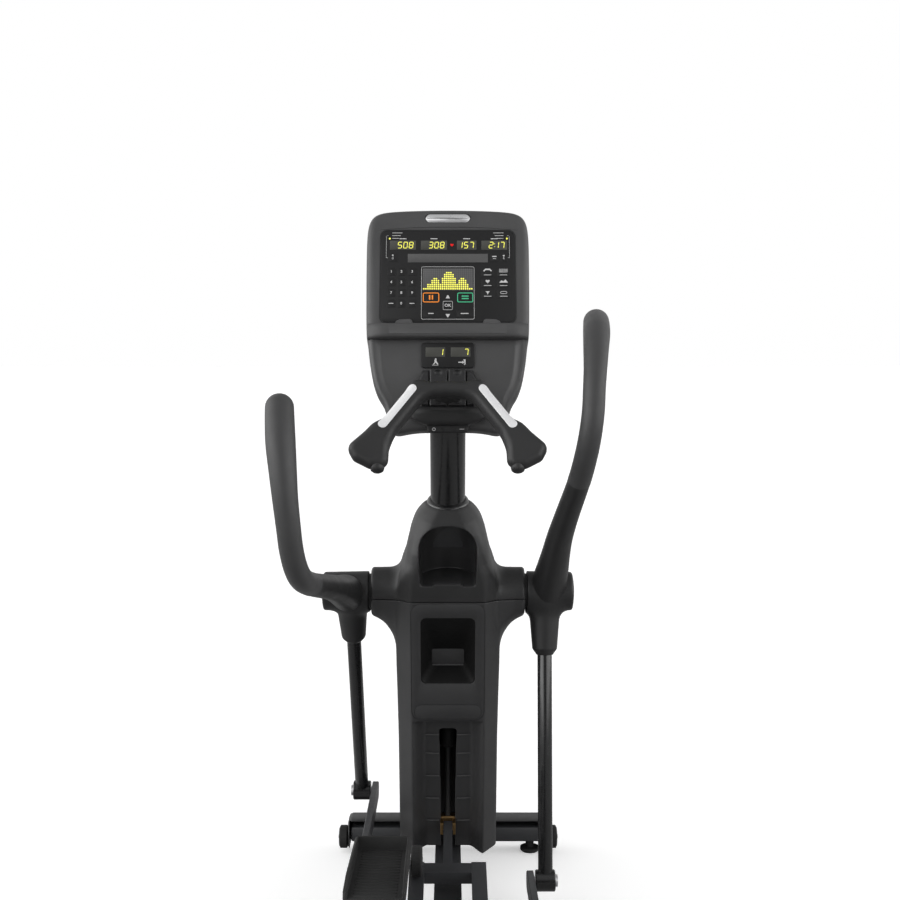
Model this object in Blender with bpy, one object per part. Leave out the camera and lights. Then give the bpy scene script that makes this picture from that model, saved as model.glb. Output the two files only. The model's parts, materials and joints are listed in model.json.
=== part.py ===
"""Rear-drive elliptical trainer with an adjustable ramp: a standalone Blender 4.5 model, in metres, +Z up.

The floor is z = 0, +Y points at the console tower, X runs across the machine. The cranks stand at dead centre:
the left side (-X) is fully forward and the right side (+X) fully back.
"""

import math

import bmesh
import bpy
from mathutils import Matrix, Vector

# ---------------------------------------------------------------- driving dimensions
GAP = 0.0004
WALL = 0.004

SHOULDER_Y = 0.63
SHOULDER_Z = 0.835
TOWER_LEAN = math.radians(14.0)
UPRIGHT_LEAN = math.radians(20.0)
CONSOLE_TILT = math.radians(18.0)

ARM_LEAN = math.radians(11.0)
ARM_SWING = math.radians(35.0)
ARM_LENGTH = 0.75
ARM_TUBE_X = 0.2535
ARM_TUBE_R = 0.019
HUB_IN = 0.2065
HUB_OUT = 0.329
HUB_R = 0.0525

RAMP_PIVOT_Y = -0.06
RAMP_PIVOT_Z = 0.20
RAMP_SLOPE = math.radians(9.0)
RAMP_TRACK_Z = 0.118
ROLLER_R = 0.038
ROLLER_FORWARD_Y = 0.4346
INCLINE = math.radians(14.0)

CRANK_Y = -0.72
CRANK_Z = 0.27
BEAM_IN = 0.137
BEAM_OUT = 0.187
LINK_IN = 0.205
LINK_OUT = 0.2225
PIN_R = 0.010
BORE_R = 0.0103

CONSOLE_Y = 0.42
CONSOLE_Z = 1.26

HOUSING_HALF = 0.0845
SEAM_Z = 0.82


# ---------------------------------------------------------------- linkage
def arm_end(swing):
    """(y, z) of the link pin with the lower arm this far from neutral, positive towards the front."""
    angle = ARM_LEAN + swing
    return SHOULDER_Y + ARM_LENGTH * math.sin(angle), SHOULDER_Z - ARM_LENGTH * math.cos(angle)


def on_ramp(distance):
    """(y, z) of the roller axle this far up the ramp from y = 0, at the lowest incline."""
    return distance * math.cos(RAMP_SLOPE), RAMP_TRACK_Z + distance * math.sin(RAMP_SLOPE)


def span(a, b):
    return math.hypot(a[0] - b[0], a[1] - b[1])


def solve(error, low, high):
    """The root of a rising function, by halving."""
    for _ in range(60):
        middle = (low + high) / 2
        if error(middle) > 0:
            high = middle
        else:
            low = middle
    return (low + high) / 2


ARM_FRONT = arm_end(ARM_SWING / 2)
ARM_BACK = arm_end(-ARM_SWING / 2)
ROLLER_FRONT = on_ramp(ROLLER_FORWARD_Y / math.cos(RAMP_SLOPE))
LINK_LENGTH = span(ARM_FRONT, ROLLER_FRONT)
ROLLER_BACK = on_ramp(solve(lambda d: LINK_LENGTH - span(on_ramp(d), ARM_BACK), -0.3, 0.3))
CRANK_R = solve(
    lambda r: span(ROLLER_BACK, (CRANK_Y - r, CRANK_Z)) - span(ROLLER_FRONT, (CRANK_Y + r, CRANK_Z)),
    0.1,
    0.3,
)
# Per side: sign of X, link pin, roller axle and crank pin in the YZ plane, and the arm's angle from neutral.
SIDES = {
    "left": (-1, ARM_FRONT, ROLLER_FRONT, (CRANK_Y + CRANK_R, CRANK_Z), ARM_SWING / 2),
    "right": (1, ARM_BACK, ROLLER_BACK, (CRANK_Y - CRANK_R, CRANK_Z), -ARM_SWING / 2),
}


# ---------------------------------------------------------------- materials
def material(name, colour, roughness, metallic=0.0):
    made = bpy.data.materials.new(name)
    made.use_nodes = True
    shader = made.node_tree.nodes["Principled BSDF"]
    shader.inputs["Base Color"].default_value = (*colour, 1.0)
    shader.inputs["Roughness"].default_value = roughness
    shader.inputs["Metallic"].default_value = metallic
    return made


for old in list(bpy.data.objects):
    bpy.data.objects.remove(old)

SHELL = material("shell_plastic", (0.045, 0.047, 0.052), 0.42)
TRIM = material("trim_plastic", (0.02, 0.021, 0.024), 0.5)
CONSOLE = material("console_plastic", (0.075, 0.077, 0.082), 0.38)
GLOSS = material("display_film", (0.012, 0.012, 0.014), 0.22)
PAINT = material("frame_paint", (0.035, 0.037, 0.042), 0.35, 0.3)
TUBE = material("tube_paint", (0.03, 0.031, 0.035), 0.3, 0.4)
GRIP = material("grip_rubber", (0.018, 0.018, 0.02), 0.7)
RUBBER = material("rubber", (0.012, 0.012, 0.012), 0.85)
STEEL = material("bright_steel", (0.62, 0.63, 0.65), 0.28, 1.0)
IRON = material("cast_iron", (0.12, 0.12, 0.125), 0.5, 0.9)
BRONZE = material("bronze", (0.45, 0.3, 0.13), 0.35, 1.0)


# ---------------------------------------------------------------- mesh helpers
def finish(name, mesh_data, surface, smooth=35.0):
    """Turns a bmesh into a named object with outward normals."""
    bmesh.ops.recalc_face_normals(mesh_data, faces=mesh_data.faces)
    mesh = bpy.data.meshes.new(name)
    mesh_data.to_mesh(mesh)
    mesh_data.free()
    mesh.materials.append(surface)
    mesh.shade_smooth()
    mesh.set_sharp_from_angle(angle=math.radians(smooth))
    made = bpy.data.objects.new(name, mesh)
    bpy.context.scene.collection.objects.link(made)
    return made


def loft(name, rings, surface, closed=True):
    """Skins rings of equal length. Closed rings make a capped solid, open ones a sheet."""
    data = bmesh.new()
    rows = [[data.verts.new(point) for point in ring] for ring in rings]
    count = len(rows[0])
    for low, high in zip(rows, rows[1:]):
        for i in range(count if closed else count - 1):
            j = (i + 1) % count
            data.faces.new((low[i], low[j], high[j], high[i]))
    if closed:
        data.faces.new(rows[0])
        data.faces.new(rows[-1][::-1])
    return finish(name, data, surface)


def box(name, low, high, surface, bevel=0.0):
    data = bmesh.new()
    bmesh.ops.create_cube(data, size=1.0)
    size = Vector(high) - Vector(low)
    middle = (Vector(high) + Vector(low)) / 2
    for vert in data.verts:
        vert.co = Vector(c * s for c, s in zip(vert.co, size)) + middle
    if bevel:
        bmesh.ops.bevel(data, geom=data.edges[:], offset=bevel, segments=2, affect="EDGES", profile=0.5)
    return finish(name, data, surface)


def circle(centre, axis, radius, sides, start=None):
    """Points of a circle about a centre, in the plane square to the axis."""
    axis = Vector(axis).normalized()
    across = Vector(start) if start else (Vector((1, 0, 0)) if abs(axis.x) < 0.9 else Vector((0, 1, 0)))
    across = (across - axis * across.dot(axis)).normalized()
    other = axis.cross(across)
    return [
        Vector(centre) + radius * (math.cos(t) * across + math.sin(t) * other)
        for t in (math.tau * k / sides for k in range(sides))
    ]


def turned(name, start, end, profile, surface, sides=24):
    """A turned solid: the profile is (share of the way from start to end, radius) pairs."""
    start, end = Vector(start), Vector(end)
    rings = [circle(start.lerp(end, share), end - start, radius, sides) for share, radius in profile]
    return loft(name, rings, surface)


def rod(name, start, end, radius, surface, sides=24):
    return turned(name, start, end, ((0, radius), (1, radius)), surface, sides)


def swept(name, path, radii, surface, sides=16, flat=1.0):
    """A tube along points, with a radius at each point; flat squashes it along the path's local up."""
    rings = []
    for k, point in enumerate(path):
        ahead = Vector(path[min(k + 1, len(path) - 1)]) - Vector(path[max(k - 1, 0)])
        ahead.normalize()
        across = (Vector((1, 0, 0)) - ahead * ahead.x).normalized()
        other = ahead.cross(across)
        rings.append(
            [
                Vector(point) + radii[k] * (math.cos(t) * across + flat * math.sin(t) * other)
                for t in (math.tau * i / sides for i in range(sides))
            ]
        )
    return loft(name, rings, surface)


def plate(name, outline, x_low, x_high, surface):
    """An outline in the YZ plane, extruded along X."""
    return loft(name, [[(x, y, z) for y, z in outline] for x in (x_low, x_high)], surface)


def capsule(a, b, radius_a, radius_b, steps=10):
    """Outline in the YZ plane around two circles, as (y, z)."""
    heading = math.atan2(b[1] - a[1], b[0] - a[0])
    lean = math.acos((radius_a - radius_b) / span(a, b))
    points = []
    for k in range(steps + 1):
        t = heading + lean + (math.tau - 2 * lean) * k / steps
        points.append((a[0] + radius_a * math.cos(t), a[1] + radius_a * math.sin(t)))
    for k in range(steps + 1):
        t = heading - lean + 2 * lean * k / steps
        points.append((b[0] + radius_b * math.cos(t), b[1] + radius_b * math.sin(t)))
    return points


def boolean(target, tool, operation):
    """Adds a Boolean and hides its tool. The tool keeps the target's placing unless it has its own."""
    modifier = target.modifiers.new(f"{operation.lower()}_{tool.name}", "BOOLEAN")
    modifier.operation = operation
    modifier.solver = "EXACT"
    modifier.object = tool
    tool.hide_render = True
    tool.hide_set(True)
    tool.display_type = "WIRE"
    return target


def cut(target, *tools):
    for tool in tools:
        boolean(target, tool, "DIFFERENCE")
    return target


def join(target, *tools):
    for tool in tools:
        boolean(target, tool, "UNION")
    return target


def thicken(target, thickness=WALL):
    modifier = target.modifiers.new("wall", "SOLIDIFY")
    modifier.thickness = thickness
    modifier.offset = -1.0
    modifier.use_even_offset = True
    return target


def x_hole(name, y, z, radius, low, high, sides=24):
    return rod(name, (low, y, z), (high, y, z), radius, RUBBER, sides)


def empty(name, location, tilt=0.0):
    made = bpy.data.objects.new(name, None)
    made.location = location
    made.rotation_euler = (tilt, 0, 0)
    bpy.context.scene.collection.objects.link(made)
    return made


def hang(child, parent):
    """Parents a piece modelled in world coordinates to an empty, leaving it where it is."""
    bpy.context.view_layer.update()
    child.parent = parent
    child.matrix_parent_inverse = parent.matrix_world.inverted()


# ---------------------------------------------------------------- base frame
def tower_y(z):
    """Y of the tower's mid plane at this height."""
    return SHOULDER_Y - (z - SHOULDER_Z) * math.tan(TOWER_LEAN)


def upright_y(z):
    return 0.572 - (z - 1.05) * math.tan(UPRIGHT_LEAN)


MAST_TOP = 1.04
MAST_BACK = 0.055
SPINE_HALF = 0.035
DRIVE_PLATE = (0.066, 0.073)
FLYWHEEL_Y = -0.50
FLYWHEEL_Z = 0.165


def base_frame():
    frame = box("base_frame", (-SPINE_HALF, -0.37, 0.035), (SPINE_HALF, 0.97, 0.095), PAINT)
    join(frame, box("rear_cross", (-0.27, -0.965, 0.035), (0.27, -0.905, 0.08), PAINT, 0.006))
    join(frame, box("front_cross", (-0.284, 0.945, 0.0353), (0.284, 1.0, 0.0797), PAINT, 0.006))
    join(frame, box("drive_floor", (-DRIVE_PLATE[1], -0.93, 0.0354), (DRIVE_PLATE[1], -0.362, 0.045), PAINT))
    outline = [(-0.94, 0.036), (-0.362, 0.036), (-0.41, 0.21), (-0.60, 0.33), (-0.84, 0.33), (-0.94, 0.16)]
    for side in (-1, 1):
        low, high = sorted((side * DRIVE_PLATE[0], side * DRIVE_PLATE[1]))
        join(frame, plate(f"drive_plate_{side}", outline, low, high, PAINT))
        ear_low, ear_high = sorted((side * 0.022, side * 0.032))
        ear = capsule((RAMP_PIVOT_Y, 0.08), (RAMP_PIVOT_Y, RAMP_PIVOT_Z), 0.03, 0.02)
        join(frame, plate(f"ramp_ear_{side}", ear, ear_low, ear_high, PAINT))
        ends = [(side * x, 0.9725, 0.042) for x in (0.28, 0.322)]
        stub = rod(f"wheel_stub_{side}", *ends, 0.006, PAINT, 16)
        join(frame, stub)
    mast = []
    for z in (0.08, MAST_TOP - 0.045):
        y = tower_y(z) + MAST_BACK
        mast.append([(-0.04, y - 0.02, z), (0.04, y - 0.02, z), (0.04, y + 0.02, z), (-0.04, y + 0.02, z)])
    join(frame, loft("mast", mast, PAINT))
    shoulders = [(x, SHOULDER_Y, SHOULDER_Z) for x in (-0.204, 0.204)]
    cross_tube = rod("cross_tube", *shoulders, 0.028, PAINT)
    join(frame, cross_tube)
    join(frame, box("tube_gusset", (-0.039, 0.635, 0.812), (0.039, 0.69, 0.858), PAINT))
    top_y = upright_y(MAST_TOP)
    join(frame, box("mast_neck", (-0.039, 0.602, MAST_TOP - 0.085), (0.039, 0.644, MAST_TOP - 0.004), PAINT))
    head_low = (-0.05, top_y - 0.045, MAST_TOP - 0.008)
    join(frame, box("mast_head", head_low, (0.05, top_y + 0.07, MAST_TOP), PAINT))
    cut(
        frame,
        x_hole("crank_bore", CRANK_Y, CRANK_Z, 0.0128, -0.1, 0.1),
        x_hole("flywheel_bore", FLYWHEEL_Y, FLYWHEEL_Z, 0.0063, -0.1, 0.1),
        x_hole("ramp_bore", RAMP_PIVOT_Y, RAMP_PIVOT_Z, 0.0083, -0.05, 0.05),
        x_hole("shoulder_bore", SHOULDER_Y, SHOULDER_Z, 0.0128, -0.25, 0.25),
    )
    return frame


FEET = {
    "foot_rear_left": (-0.24, -0.935),
    "foot_rear_right": (0.24, -0.935),
    "foot_front_left": (-0.24, 0.9725),
    "foot_front_right": (0.24, 0.9725),
}
FOOT_TOP = 0.035 - GAP


def feet():
    for name, (x, y) in FEET.items():
        profile = ((0, 0.024), (0.12, 0.028), (0.35, 0.028), (0.42, 0.012), (1, 0.012))
        turned(name, (x, y, 0), (x, y, FOOT_TOP), profile, RUBBER, 20)


def transport_wheels():
    for name, side in (("transport_wheel_left", -1), ("transport_wheel_right", 1)):
        wheel = turned(
            name,
            (side * 0.2935, 0.9725, 0.042),
            (side * 0.3195, 0.9725, 0.042),
            ((0, 0.026), (0.15, 0.033), (0.85, 0.033), (1, 0.026)),
            RUBBER,
        )
        cut(wheel, x_hole(f"bore_{name}", 0.9725, 0.042, 0.0063, side * 0.28, side * 0.33))
        hang(wheel, empty(f"{name}_axis", (side * 0.3065, 0.9725, 0.042)))


# ---------------------------------------------------------------- tower covers
# Bell above the shoulders: height, half width, depth to the user, depth to the front, tilt share.
BELL = (
    (0.8985, 0.126, 0.108, 0.104, 0.0),
    (0.923, 0.118, 0.106, 0.102, 0.0),
    (0.945, 0.1102, 0.104, 0.099, 0.1),
    (0.9668, 0.1052, 0.101, 0.095, 0.2),
    (0.9884, 0.1004, 0.098, 0.090, 0.35),
    (1.010, 0.0957, 0.093, 0.085, 0.5),
    (1.0314, 0.0889, 0.086, 0.078, 0.7),
    (1.0528, 0.0789, 0.075, 0.069, 0.9),
    (1.0634, 0.071, 0.068, 0.063, 1.0),
    (1.0741, 0.0604, 0.058, 0.056, 1.0),
    (1.079, 0.0535, 0.0535, 0.0535, 1.0),
)
SHOULDER_X = 0.2003
SHOULDER_R = 0.0625
TOWER_HALF = 0.1335
SECTION_STEPS = 24


def section_radius(t, half, depth, reach, thick, power):
    """Radius at angle t from +X of a rounded section joined with the shoulder bar across it."""
    c, s = abs(math.cos(t)), abs(math.sin(t))
    body = 1.0 / ((c / half) ** power + (s / depth) ** power) ** (1.0 / power)
    if reach <= 0 or thick <= 0.002:
        return body
    bar = min(reach / max(c, 1e-6), thick / max(s, 1e-6))
    return max(body, bar)


def half_ring(z, half, depth, side, tilt=0.0, reach=0.0, thick=0.0, power=3.2, centre_y=None):
    """Half a section at height z: side -1 is the user's half, +1 the front half. Points run from +X to -X."""
    middle = tower_y(z) if centre_y is None else centre_y
    points = []
    for k in range(SECTION_STEPS + 1):
        # Steps crowd towards the ends, where the shoulders stand out.
        share = k / SECTION_STEPS
        t = math.pi * (share - 0.09 * math.sin(math.tau * share))
        radius = section_radius(t, half, depth, reach, thick, power)
        out = side * radius * math.sin(t)
        middle_gap = side * GAP / 2
        points.append(
            (radius * math.cos(t), middle + middle_gap + out * math.cos(tilt), z + out * math.sin(tilt))
        )
    return points


def bell_line():
    return [(z, tower_y(z) * (1 - share) + upright_y(z) * share) for z, _, _, _, share in BELL[1:]]


def parting(name, side, line):
    """Everything on the far side of the parting line between the user's half and the front half."""
    line = line + [(line[-1][0] + 0.1, line[-1][1])]
    rings = []
    for z, y in line:
        near, far = sorted((y - side * 0.0002 + side * 0.0005, y - side * 0.3))
        rings.append([(-0.3, near, z), (0.3, near, z), (0.3, far, z), (-0.3, far, z)])
    return loft(name, rings, SHELL)


def bar_thickness(z, side):
    """How far the shoulder cylinder reaches from the mid plane, on one side, at this height."""
    rise = z - SHOULDER_Z
    if abs(rise) >= SHOULDER_R:
        return 0.0
    return math.sqrt(SHOULDER_R**2 - rise**2) - side * (tower_y(z) - SHOULDER_Y)


def upper_shroud(name, side):
    rings = []
    for z in (SEAM_Z + GAP, 0.835, 0.85, 0.865, 0.878, 0.888, 0.8955):
        depth = 0.108 if side < 0 else 0.104
        rings.append(half_ring(z, 0.128, depth, side, 0.0, SHOULDER_X, bar_thickness(z, side)))
    for z, half, user, front, share in BELL:
        power = 3.2 - 1.2 * share
        centre = tower_y(z) * (1 - share) + upright_y(z) * share
        depth = user if side < 0 else front
        rings.append(half_ring(z, half, depth, side, UPRIGHT_LEAN * share, power=power, centre_y=centre))
    shroud = thicken(loft(name, rings, SHELL, closed=False))
    cut(shroud, parting(f"parting_{name}", side, [(z, tower_y(z)) for z in (0.7, 0.8985)] + bell_line()))
    cut(shroud, x_hole(f"shaft_hole_{name}", SHOULDER_Y, SHOULDER_Z, 0.0345, -0.26, 0.26))
    return shroud


def cup_arch():
    """The bottle opening's outline in the XZ plane: straight sides, a wide arch above."""
    points = [(-0.069, 0.868), (0.069, 0.868), (0.0715, 0.94), (0.069, 0.975)]
    for k in range(1, 12):
        t = math.pi * k / 12
        points.append((0.0655 * math.cos(t), 0.985 + 0.0437 * math.sin(t)))
    points += [(-0.069, 0.975), (-0.0715, 0.94)]
    return points


CUP_BACK = -0.008
CUP_WALL = 0.003


def shroud_depth(x, z):
    """How far the upper shroud's outer face stands towards the user from its mid plane."""
    # The sections tilt with height, so the user's side of each one dips below its own level.
    z += 0.055 * max(z - 0.93, 0) / 0.1 * 0.45
    low, high = BELL[0], BELL[1]
    for low, high in zip(BELL, BELL[1:]):
        if z < high[0]:
            break
    share = min(max((z - low[0]) / (high[0] - low[0]), 0.0), 1.0)
    half = low[1] + share * (high[1] - low[1])
    depth = low[2] + share * (high[2] - low[2])
    power = 3.2 - 1.2 * (low[4] + share * (high[4] - low[4]))
    return depth * max(1 - (abs(x) / half) ** power, 0.0) ** (1 / power)


def bottle_cup():
    """Liner behind the opening: its rim follows the inside of the shroud and its sides draw in to the back."""
    def ring(grow, back):
        points = []
        for x, z in cup_arch():
            middle = Vector((0, 0.945))
            away = Vector((x, z)) - middle
            x, z = middle + away * (1 + grow / away.length)
            if back is None:
                points.append((x, tower_y(z) - shroud_depth(x, z) + WALL + 0.0055, z))
            else:
                z = 0.868 + (z - 0.868) * 0.9
                points.append((x * 0.93, tower_y(z) + back, z))
        return points

    rings = [ring(0, CUP_BACK - CUP_WALL), ring(0, None), ring(CUP_WALL, None), ring(CUP_WALL, CUP_BACK)]
    return loft("bottle_cup", rings, TRIM)


# Lower tower: height, half width, shoulder reach, shoulder half thickness.
TOWER = (
    (SEAM_Z, 0.134, SHOULDER_X, None),
    (0.805, 0.134, SHOULDER_X, None),
    (0.79, 0.134, SHOULDER_X, None),
    (0.778, 0.134, 0.193, 0.03),
    (0.762, 0.134, 0.178, 0.042),
    (0.745, 0.134, 0.1625, 0.052),
    (0.7196, 0.134, 0.1481, 0.06),
    (0.7025, 0.134, 0.1421, 0.066),
    (0.68, TOWER_HALF, 0.0, 0.0),
    (0.52, TOWER_HALF, 0.0, 0.0),
    (0.50, TOWER_HALF, 0.0, 0.0),
    (0.12, TOWER_HALF, 0.0, 0.0),
)
FACE_DEPTH = 0.108
FRONT_DEPTH = 0.104
CHANNEL_TOP = 0.505
CHANNEL_HALF = 0.095
CHANNEL_DEPTH = 0.024


def lower_cover(name, side):
    rings = []
    for z, half, reach, thick in TOWER:
        if thick is None:
            thick = bar_thickness(z, side)
        depth = FACE_DEPTH if side < 0 else FRONT_DEPTH
        top = z - 0.0026 if z == SEAM_Z else z
        ring = half_ring(top, half, depth, side, 0.0, reach, thick, power=5.0)
        if side < 0 and z < CHANNEL_TOP:
            ring = [dished(point, top) for point in ring]
        rings.append(ring)
    cover = thicken(loft(name, rings[::-1], SHELL, closed=False))
    cut(cover, parting(f"parting_{name}", side, [(z, tower_y(z)) for z in (0.05, 0.9)]))
    return cut(cover, x_hole(f"shaft_hole_{name}", SHOULDER_Y, SHOULDER_Z, 0.0345, -0.26, 0.26))


def dished(point, z):
    """Pulls the middle of the user's face in, for the channel around the lift slot."""
    x, y, _ = point
    if abs(x) >= CHANNEL_HALF or y > tower_y(z) - 0.06:
        return point
    return x, y + CHANNEL_DEPTH * math.cos(0.5 * math.pi * x / CHANNEL_HALF) ** 1.2, z


SLOT_TOP = 0.464
SLOT_HALF = 0.0215
TRAY = ((-0.070, 0.602), (0.070, 0.782))
PANEL = ((-0.095, 0.506), (0.095, SEAM_Z - 0.0015))


def rounded(low, high, radius, steps=4, top_square=False):
    """Rounded rectangle outline in the XZ plane."""
    points = []
    corners = (
        (high[0] - radius, high[1] - radius, 0),
        (low[0] + radius, high[1] - radius, 90),
        (low[0] + radius, low[1] + radius, 180),
        (high[0] - radius, low[1] + radius, 270),
    )
    for x, z, start in corners:
        if top_square and start < 180:
            points.append((high[0] if start == 0 else low[0], high[1]))
            continue
        for k in range(steps + 1):
            t = math.radians(start + 90.0 * k / steps)
            points.append((x + radius * math.cos(t), z + radius * math.sin(t)))
    return points


def leaning(name, outline, front, back, surface, lean=True):
    """Extrudes an XZ outline between two offsets from the tower's mid plane, following its lean."""
    return loft(
        name,
        [[(x, (tower_y(z) if lean else SHOULDER_Y) + offset, z) for x, z in outline] for offset in (front, back)],
        surface,
    )


def tower_trim():
    """Inset panel with the accessory tray behind it, set in a recess of the lower cover."""
    panel = leaning("centre_panel", rounded(*PANEL, 0.026, top_square=True), -0.1125, -FACE_DEPTH - GAP, TRIM)
    cut(panel, leaning("tray_mouth", rounded(*TRAY, 0.012), -0.13, -0.09, TRIM))
    inner = ((TRAY[0][0] - 0.004, TRAY[0][1] - 0.004), (TRAY[1][0] + 0.004, TRAY[1][1] + 0.004))
    tray = leaning("accessory_tray", rounded(*inner, 0.014), -0.1025, -0.0455, TRIM)
    cut(tray, leaning("tray_hollow", rounded(*TRAY, 0.012), -0.12, -0.0495, TRIM))
    return panel, tray


def tower():
    upper_user = upper_shroud("upper_shroud_rear", -1)
    upper_shroud("upper_shroud_front", 1)
    mouth = leaning("cup_mouth", cup_arch(), -0.13, -0.075, SHELL)
    cut(upper_user, mouth)
    bottle_cup()
    lower_user = lower_cover("lower_cover_rear", -1)
    lower_cover("lower_cover_front", 1)
    slot = [(-SLOT_HALF, 0.1), (SLOT_HALF, 0.1), (SLOT_HALF, SLOT_TOP), (-SLOT_HALF, SLOT_TOP)]
    tray_cut = ((TRAY[0][0] - 0.0045, TRAY[0][1] - 0.0045), (TRAY[1][0] + 0.0045, TRAY[1][1] + 0.0045))
    cut(
        lower_user,
        leaning("lift_slot", slot, -0.13, -0.04, SHELL),
        leaning("tray_cut", rounded(*tray_cut, 0.0145), -0.13, -0.06, SHELL),
    )
    tower_trim()


def upright():
    foot = Vector((0, upright_y(1.056), 1.056))
    head = Vector((0, upright_y(1.262), 1.262))
    rod("upright_tube", foot, head, 0.0443, TUBE, 32)
    lean = (head - foot).normalized()
    low = Vector((0, upright_y(1.0798), 1.0798))
    collar = turned(
        "collar", low, low + lean * 0.012, ((0, 0.0535), (0.35, 0.054), (0.8, 0.050), (1, 0.0465)), TRIM, 32
    )
    cut(collar, rod("collar_bore", low - lean * 0.02, low + lean * 0.03, 0.0449, TRIM, 32))


# ---------------------------------------------------------------- arms
HANDLE = (
    # Distance to the user, height and X out from the shoulder axis, with the arm fully forward at its foot.
    (0.040, 0.006, 0.2655, 0.031),
    (0.150, 0.033, 0.2655, 0.029),
    (0.280, 0.062, 0.291, 0.0275),
    (0.420, 0.093, 0.3125, 0.0255),
    (0.500, 0.118, 0.3235, 0.025),
    (0.545, 0.150, 0.331, 0.0248),
    (0.571, 0.195, 0.3375, 0.025),
    (0.584, 0.250, 0.342, 0.0255),
    (0.584, 0.310, 0.348, 0.027),
    (0.574, 0.370, 0.354, 0.030),
    (0.556, 0.425, 0.3605, 0.0318),
    (0.527, 0.470, 0.366, 0.0325),
    (0.503, 0.502, 0.3705, 0.0320),
    (0.493, 0.516, 0.3722, 0.027),
    (0.485, 0.527, 0.373, 0.014),
)


def from_shoulder(side, swing, ahead, up, x):
    """World point of an arm feature given in the left arm's rest pose, turned to this side's pose."""
    turn = swing - ARM_SWING / 2
    y, z = -ahead, up
    return Vector(
        (
            side * x,
            SHOULDER_Y + y * math.cos(turn) - z * math.sin(turn),
            SHOULDER_Z + y * math.sin(turn) + z * math.cos(turn),
        )
    )


def arm(label):
    side, foot, _, _, swing = SIDES[label]
    axis = empty(f"arm_axis_{label}", (0, SHOULDER_Y, SHOULDER_Z))
    ends = [(side * x, SHOULDER_Y, SHOULDER_Z) for x in (HUB_IN, HUB_OUT)]
    profile = ((0, 0.050), (0.03, HUB_R), (0.88, 0.051), (0.955, 0.046), (1, 0.030))
    hub = turned(f"arm_hub_{label}", *ends, profile, SHELL, 36)
    down = Vector((0, foot[0] - SHOULDER_Y, foot[1] - SHOULDER_Z)).normalized()
    centre = Vector((side * ARM_TUBE_X, SHOULDER_Y, SHOULDER_Z))
    socket = turned(
        f"socket_{label}",
        centre + down * 0.012,
        centre + down * 0.166,
        ((0, 0.042), (0.3, 0.0385), (0.9, 0.0325), (1, 0.0225)),
        SHELL,
        28,
    )
    join(hub, socket)
    bore = x_hole(f"hub_bore_{label}", SHOULDER_Y, SHOULDER_Z, 0.0129, side * 0.19, side * 0.30)
    tube_hole = rod(f"tube_hole_{label}", centre + down * 0.07, centre + down * 0.2, ARM_TUBE_R + GAP, SHELL)
    cut(hub, bore, tube_hole)
    path = [from_shoulder(side, swing, ahead, up, x) for ahead, up, x, _ in HANDLE]
    handle = swept(f"handle_{label}", path, [radius for *_, radius in HANDLE], GRIP, 20)
    clear = turned(f"hub_clear_{label}", *ends, [(s, r + GAP) for s, r in profile], SHELL, 36)
    cut(handle, clear)
    tube = rod(
        f"lower_arm_{label}", centre + down * 0.0705, centre + down * (ARM_LENGTH - 0.012), ARM_TUBE_R, TUBE, 24
    )
    lug = rod(f"lug_{label}", (side * 0.2275, *foot), (side * 0.2785, *foot), 0.028, TUBE, 28)
    join(tube, lug)
    cut(tube, x_hole(f"lug_bore_{label}", *foot, BORE_R, side * 0.2, side * 0.3))
    for piece in (hub, handle, tube):
        hang(piece, axis)


def links(label):
    side, foot, roller, _, _ = SIDES[label]
    pin_axis = empty(f"link_pin_axis_{label}", (0, *foot))
    pin = turned(
        f"link_pin_{label}",
        (side * (LINK_IN + 0.0005), *foot),
        (side * 0.285, *foot),
        ((0, PIN_R), (0.9247, PIN_R), (0.9248, 0.016), (1, 0.015)),
        STEEL,
        20,
    )
    low, high = sorted((side * LINK_IN, side * LINK_OUT))
    link = plate(f"link_{label}", capsule(foot, roller, 0.025, 0.025), low, high, PAINT)
    cut(link, x_hole(f"link_bore_{label}", *foot, BORE_R, side * 0.19, side * 0.24))
    for piece in (pin, link):
        hang(piece, pin_axis)


# ---------------------------------------------------------------- ramp and lift
RAIL = (0.060, 0.098)
RAMP_END_Y = 0.50
LIFT_TIP_Y = 0.712


def track_z(y):
    """Height of the rolling surface at the lowest incline."""
    return RAMP_TRACK_Z + y * math.tan(RAMP_SLOPE) - ROLLER_R / math.cos(RAMP_SLOPE) - GAP


def strip(y_low, y_high, above, below):
    """Side outline of a bar that follows the track."""
    return [
        (y_low, track_z(y_low) - below),
        (y_high, track_z(y_high) - below),
        (y_high, track_z(y_high) + above),
        (y_low, track_z(y_low) + above),
    ]


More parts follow.
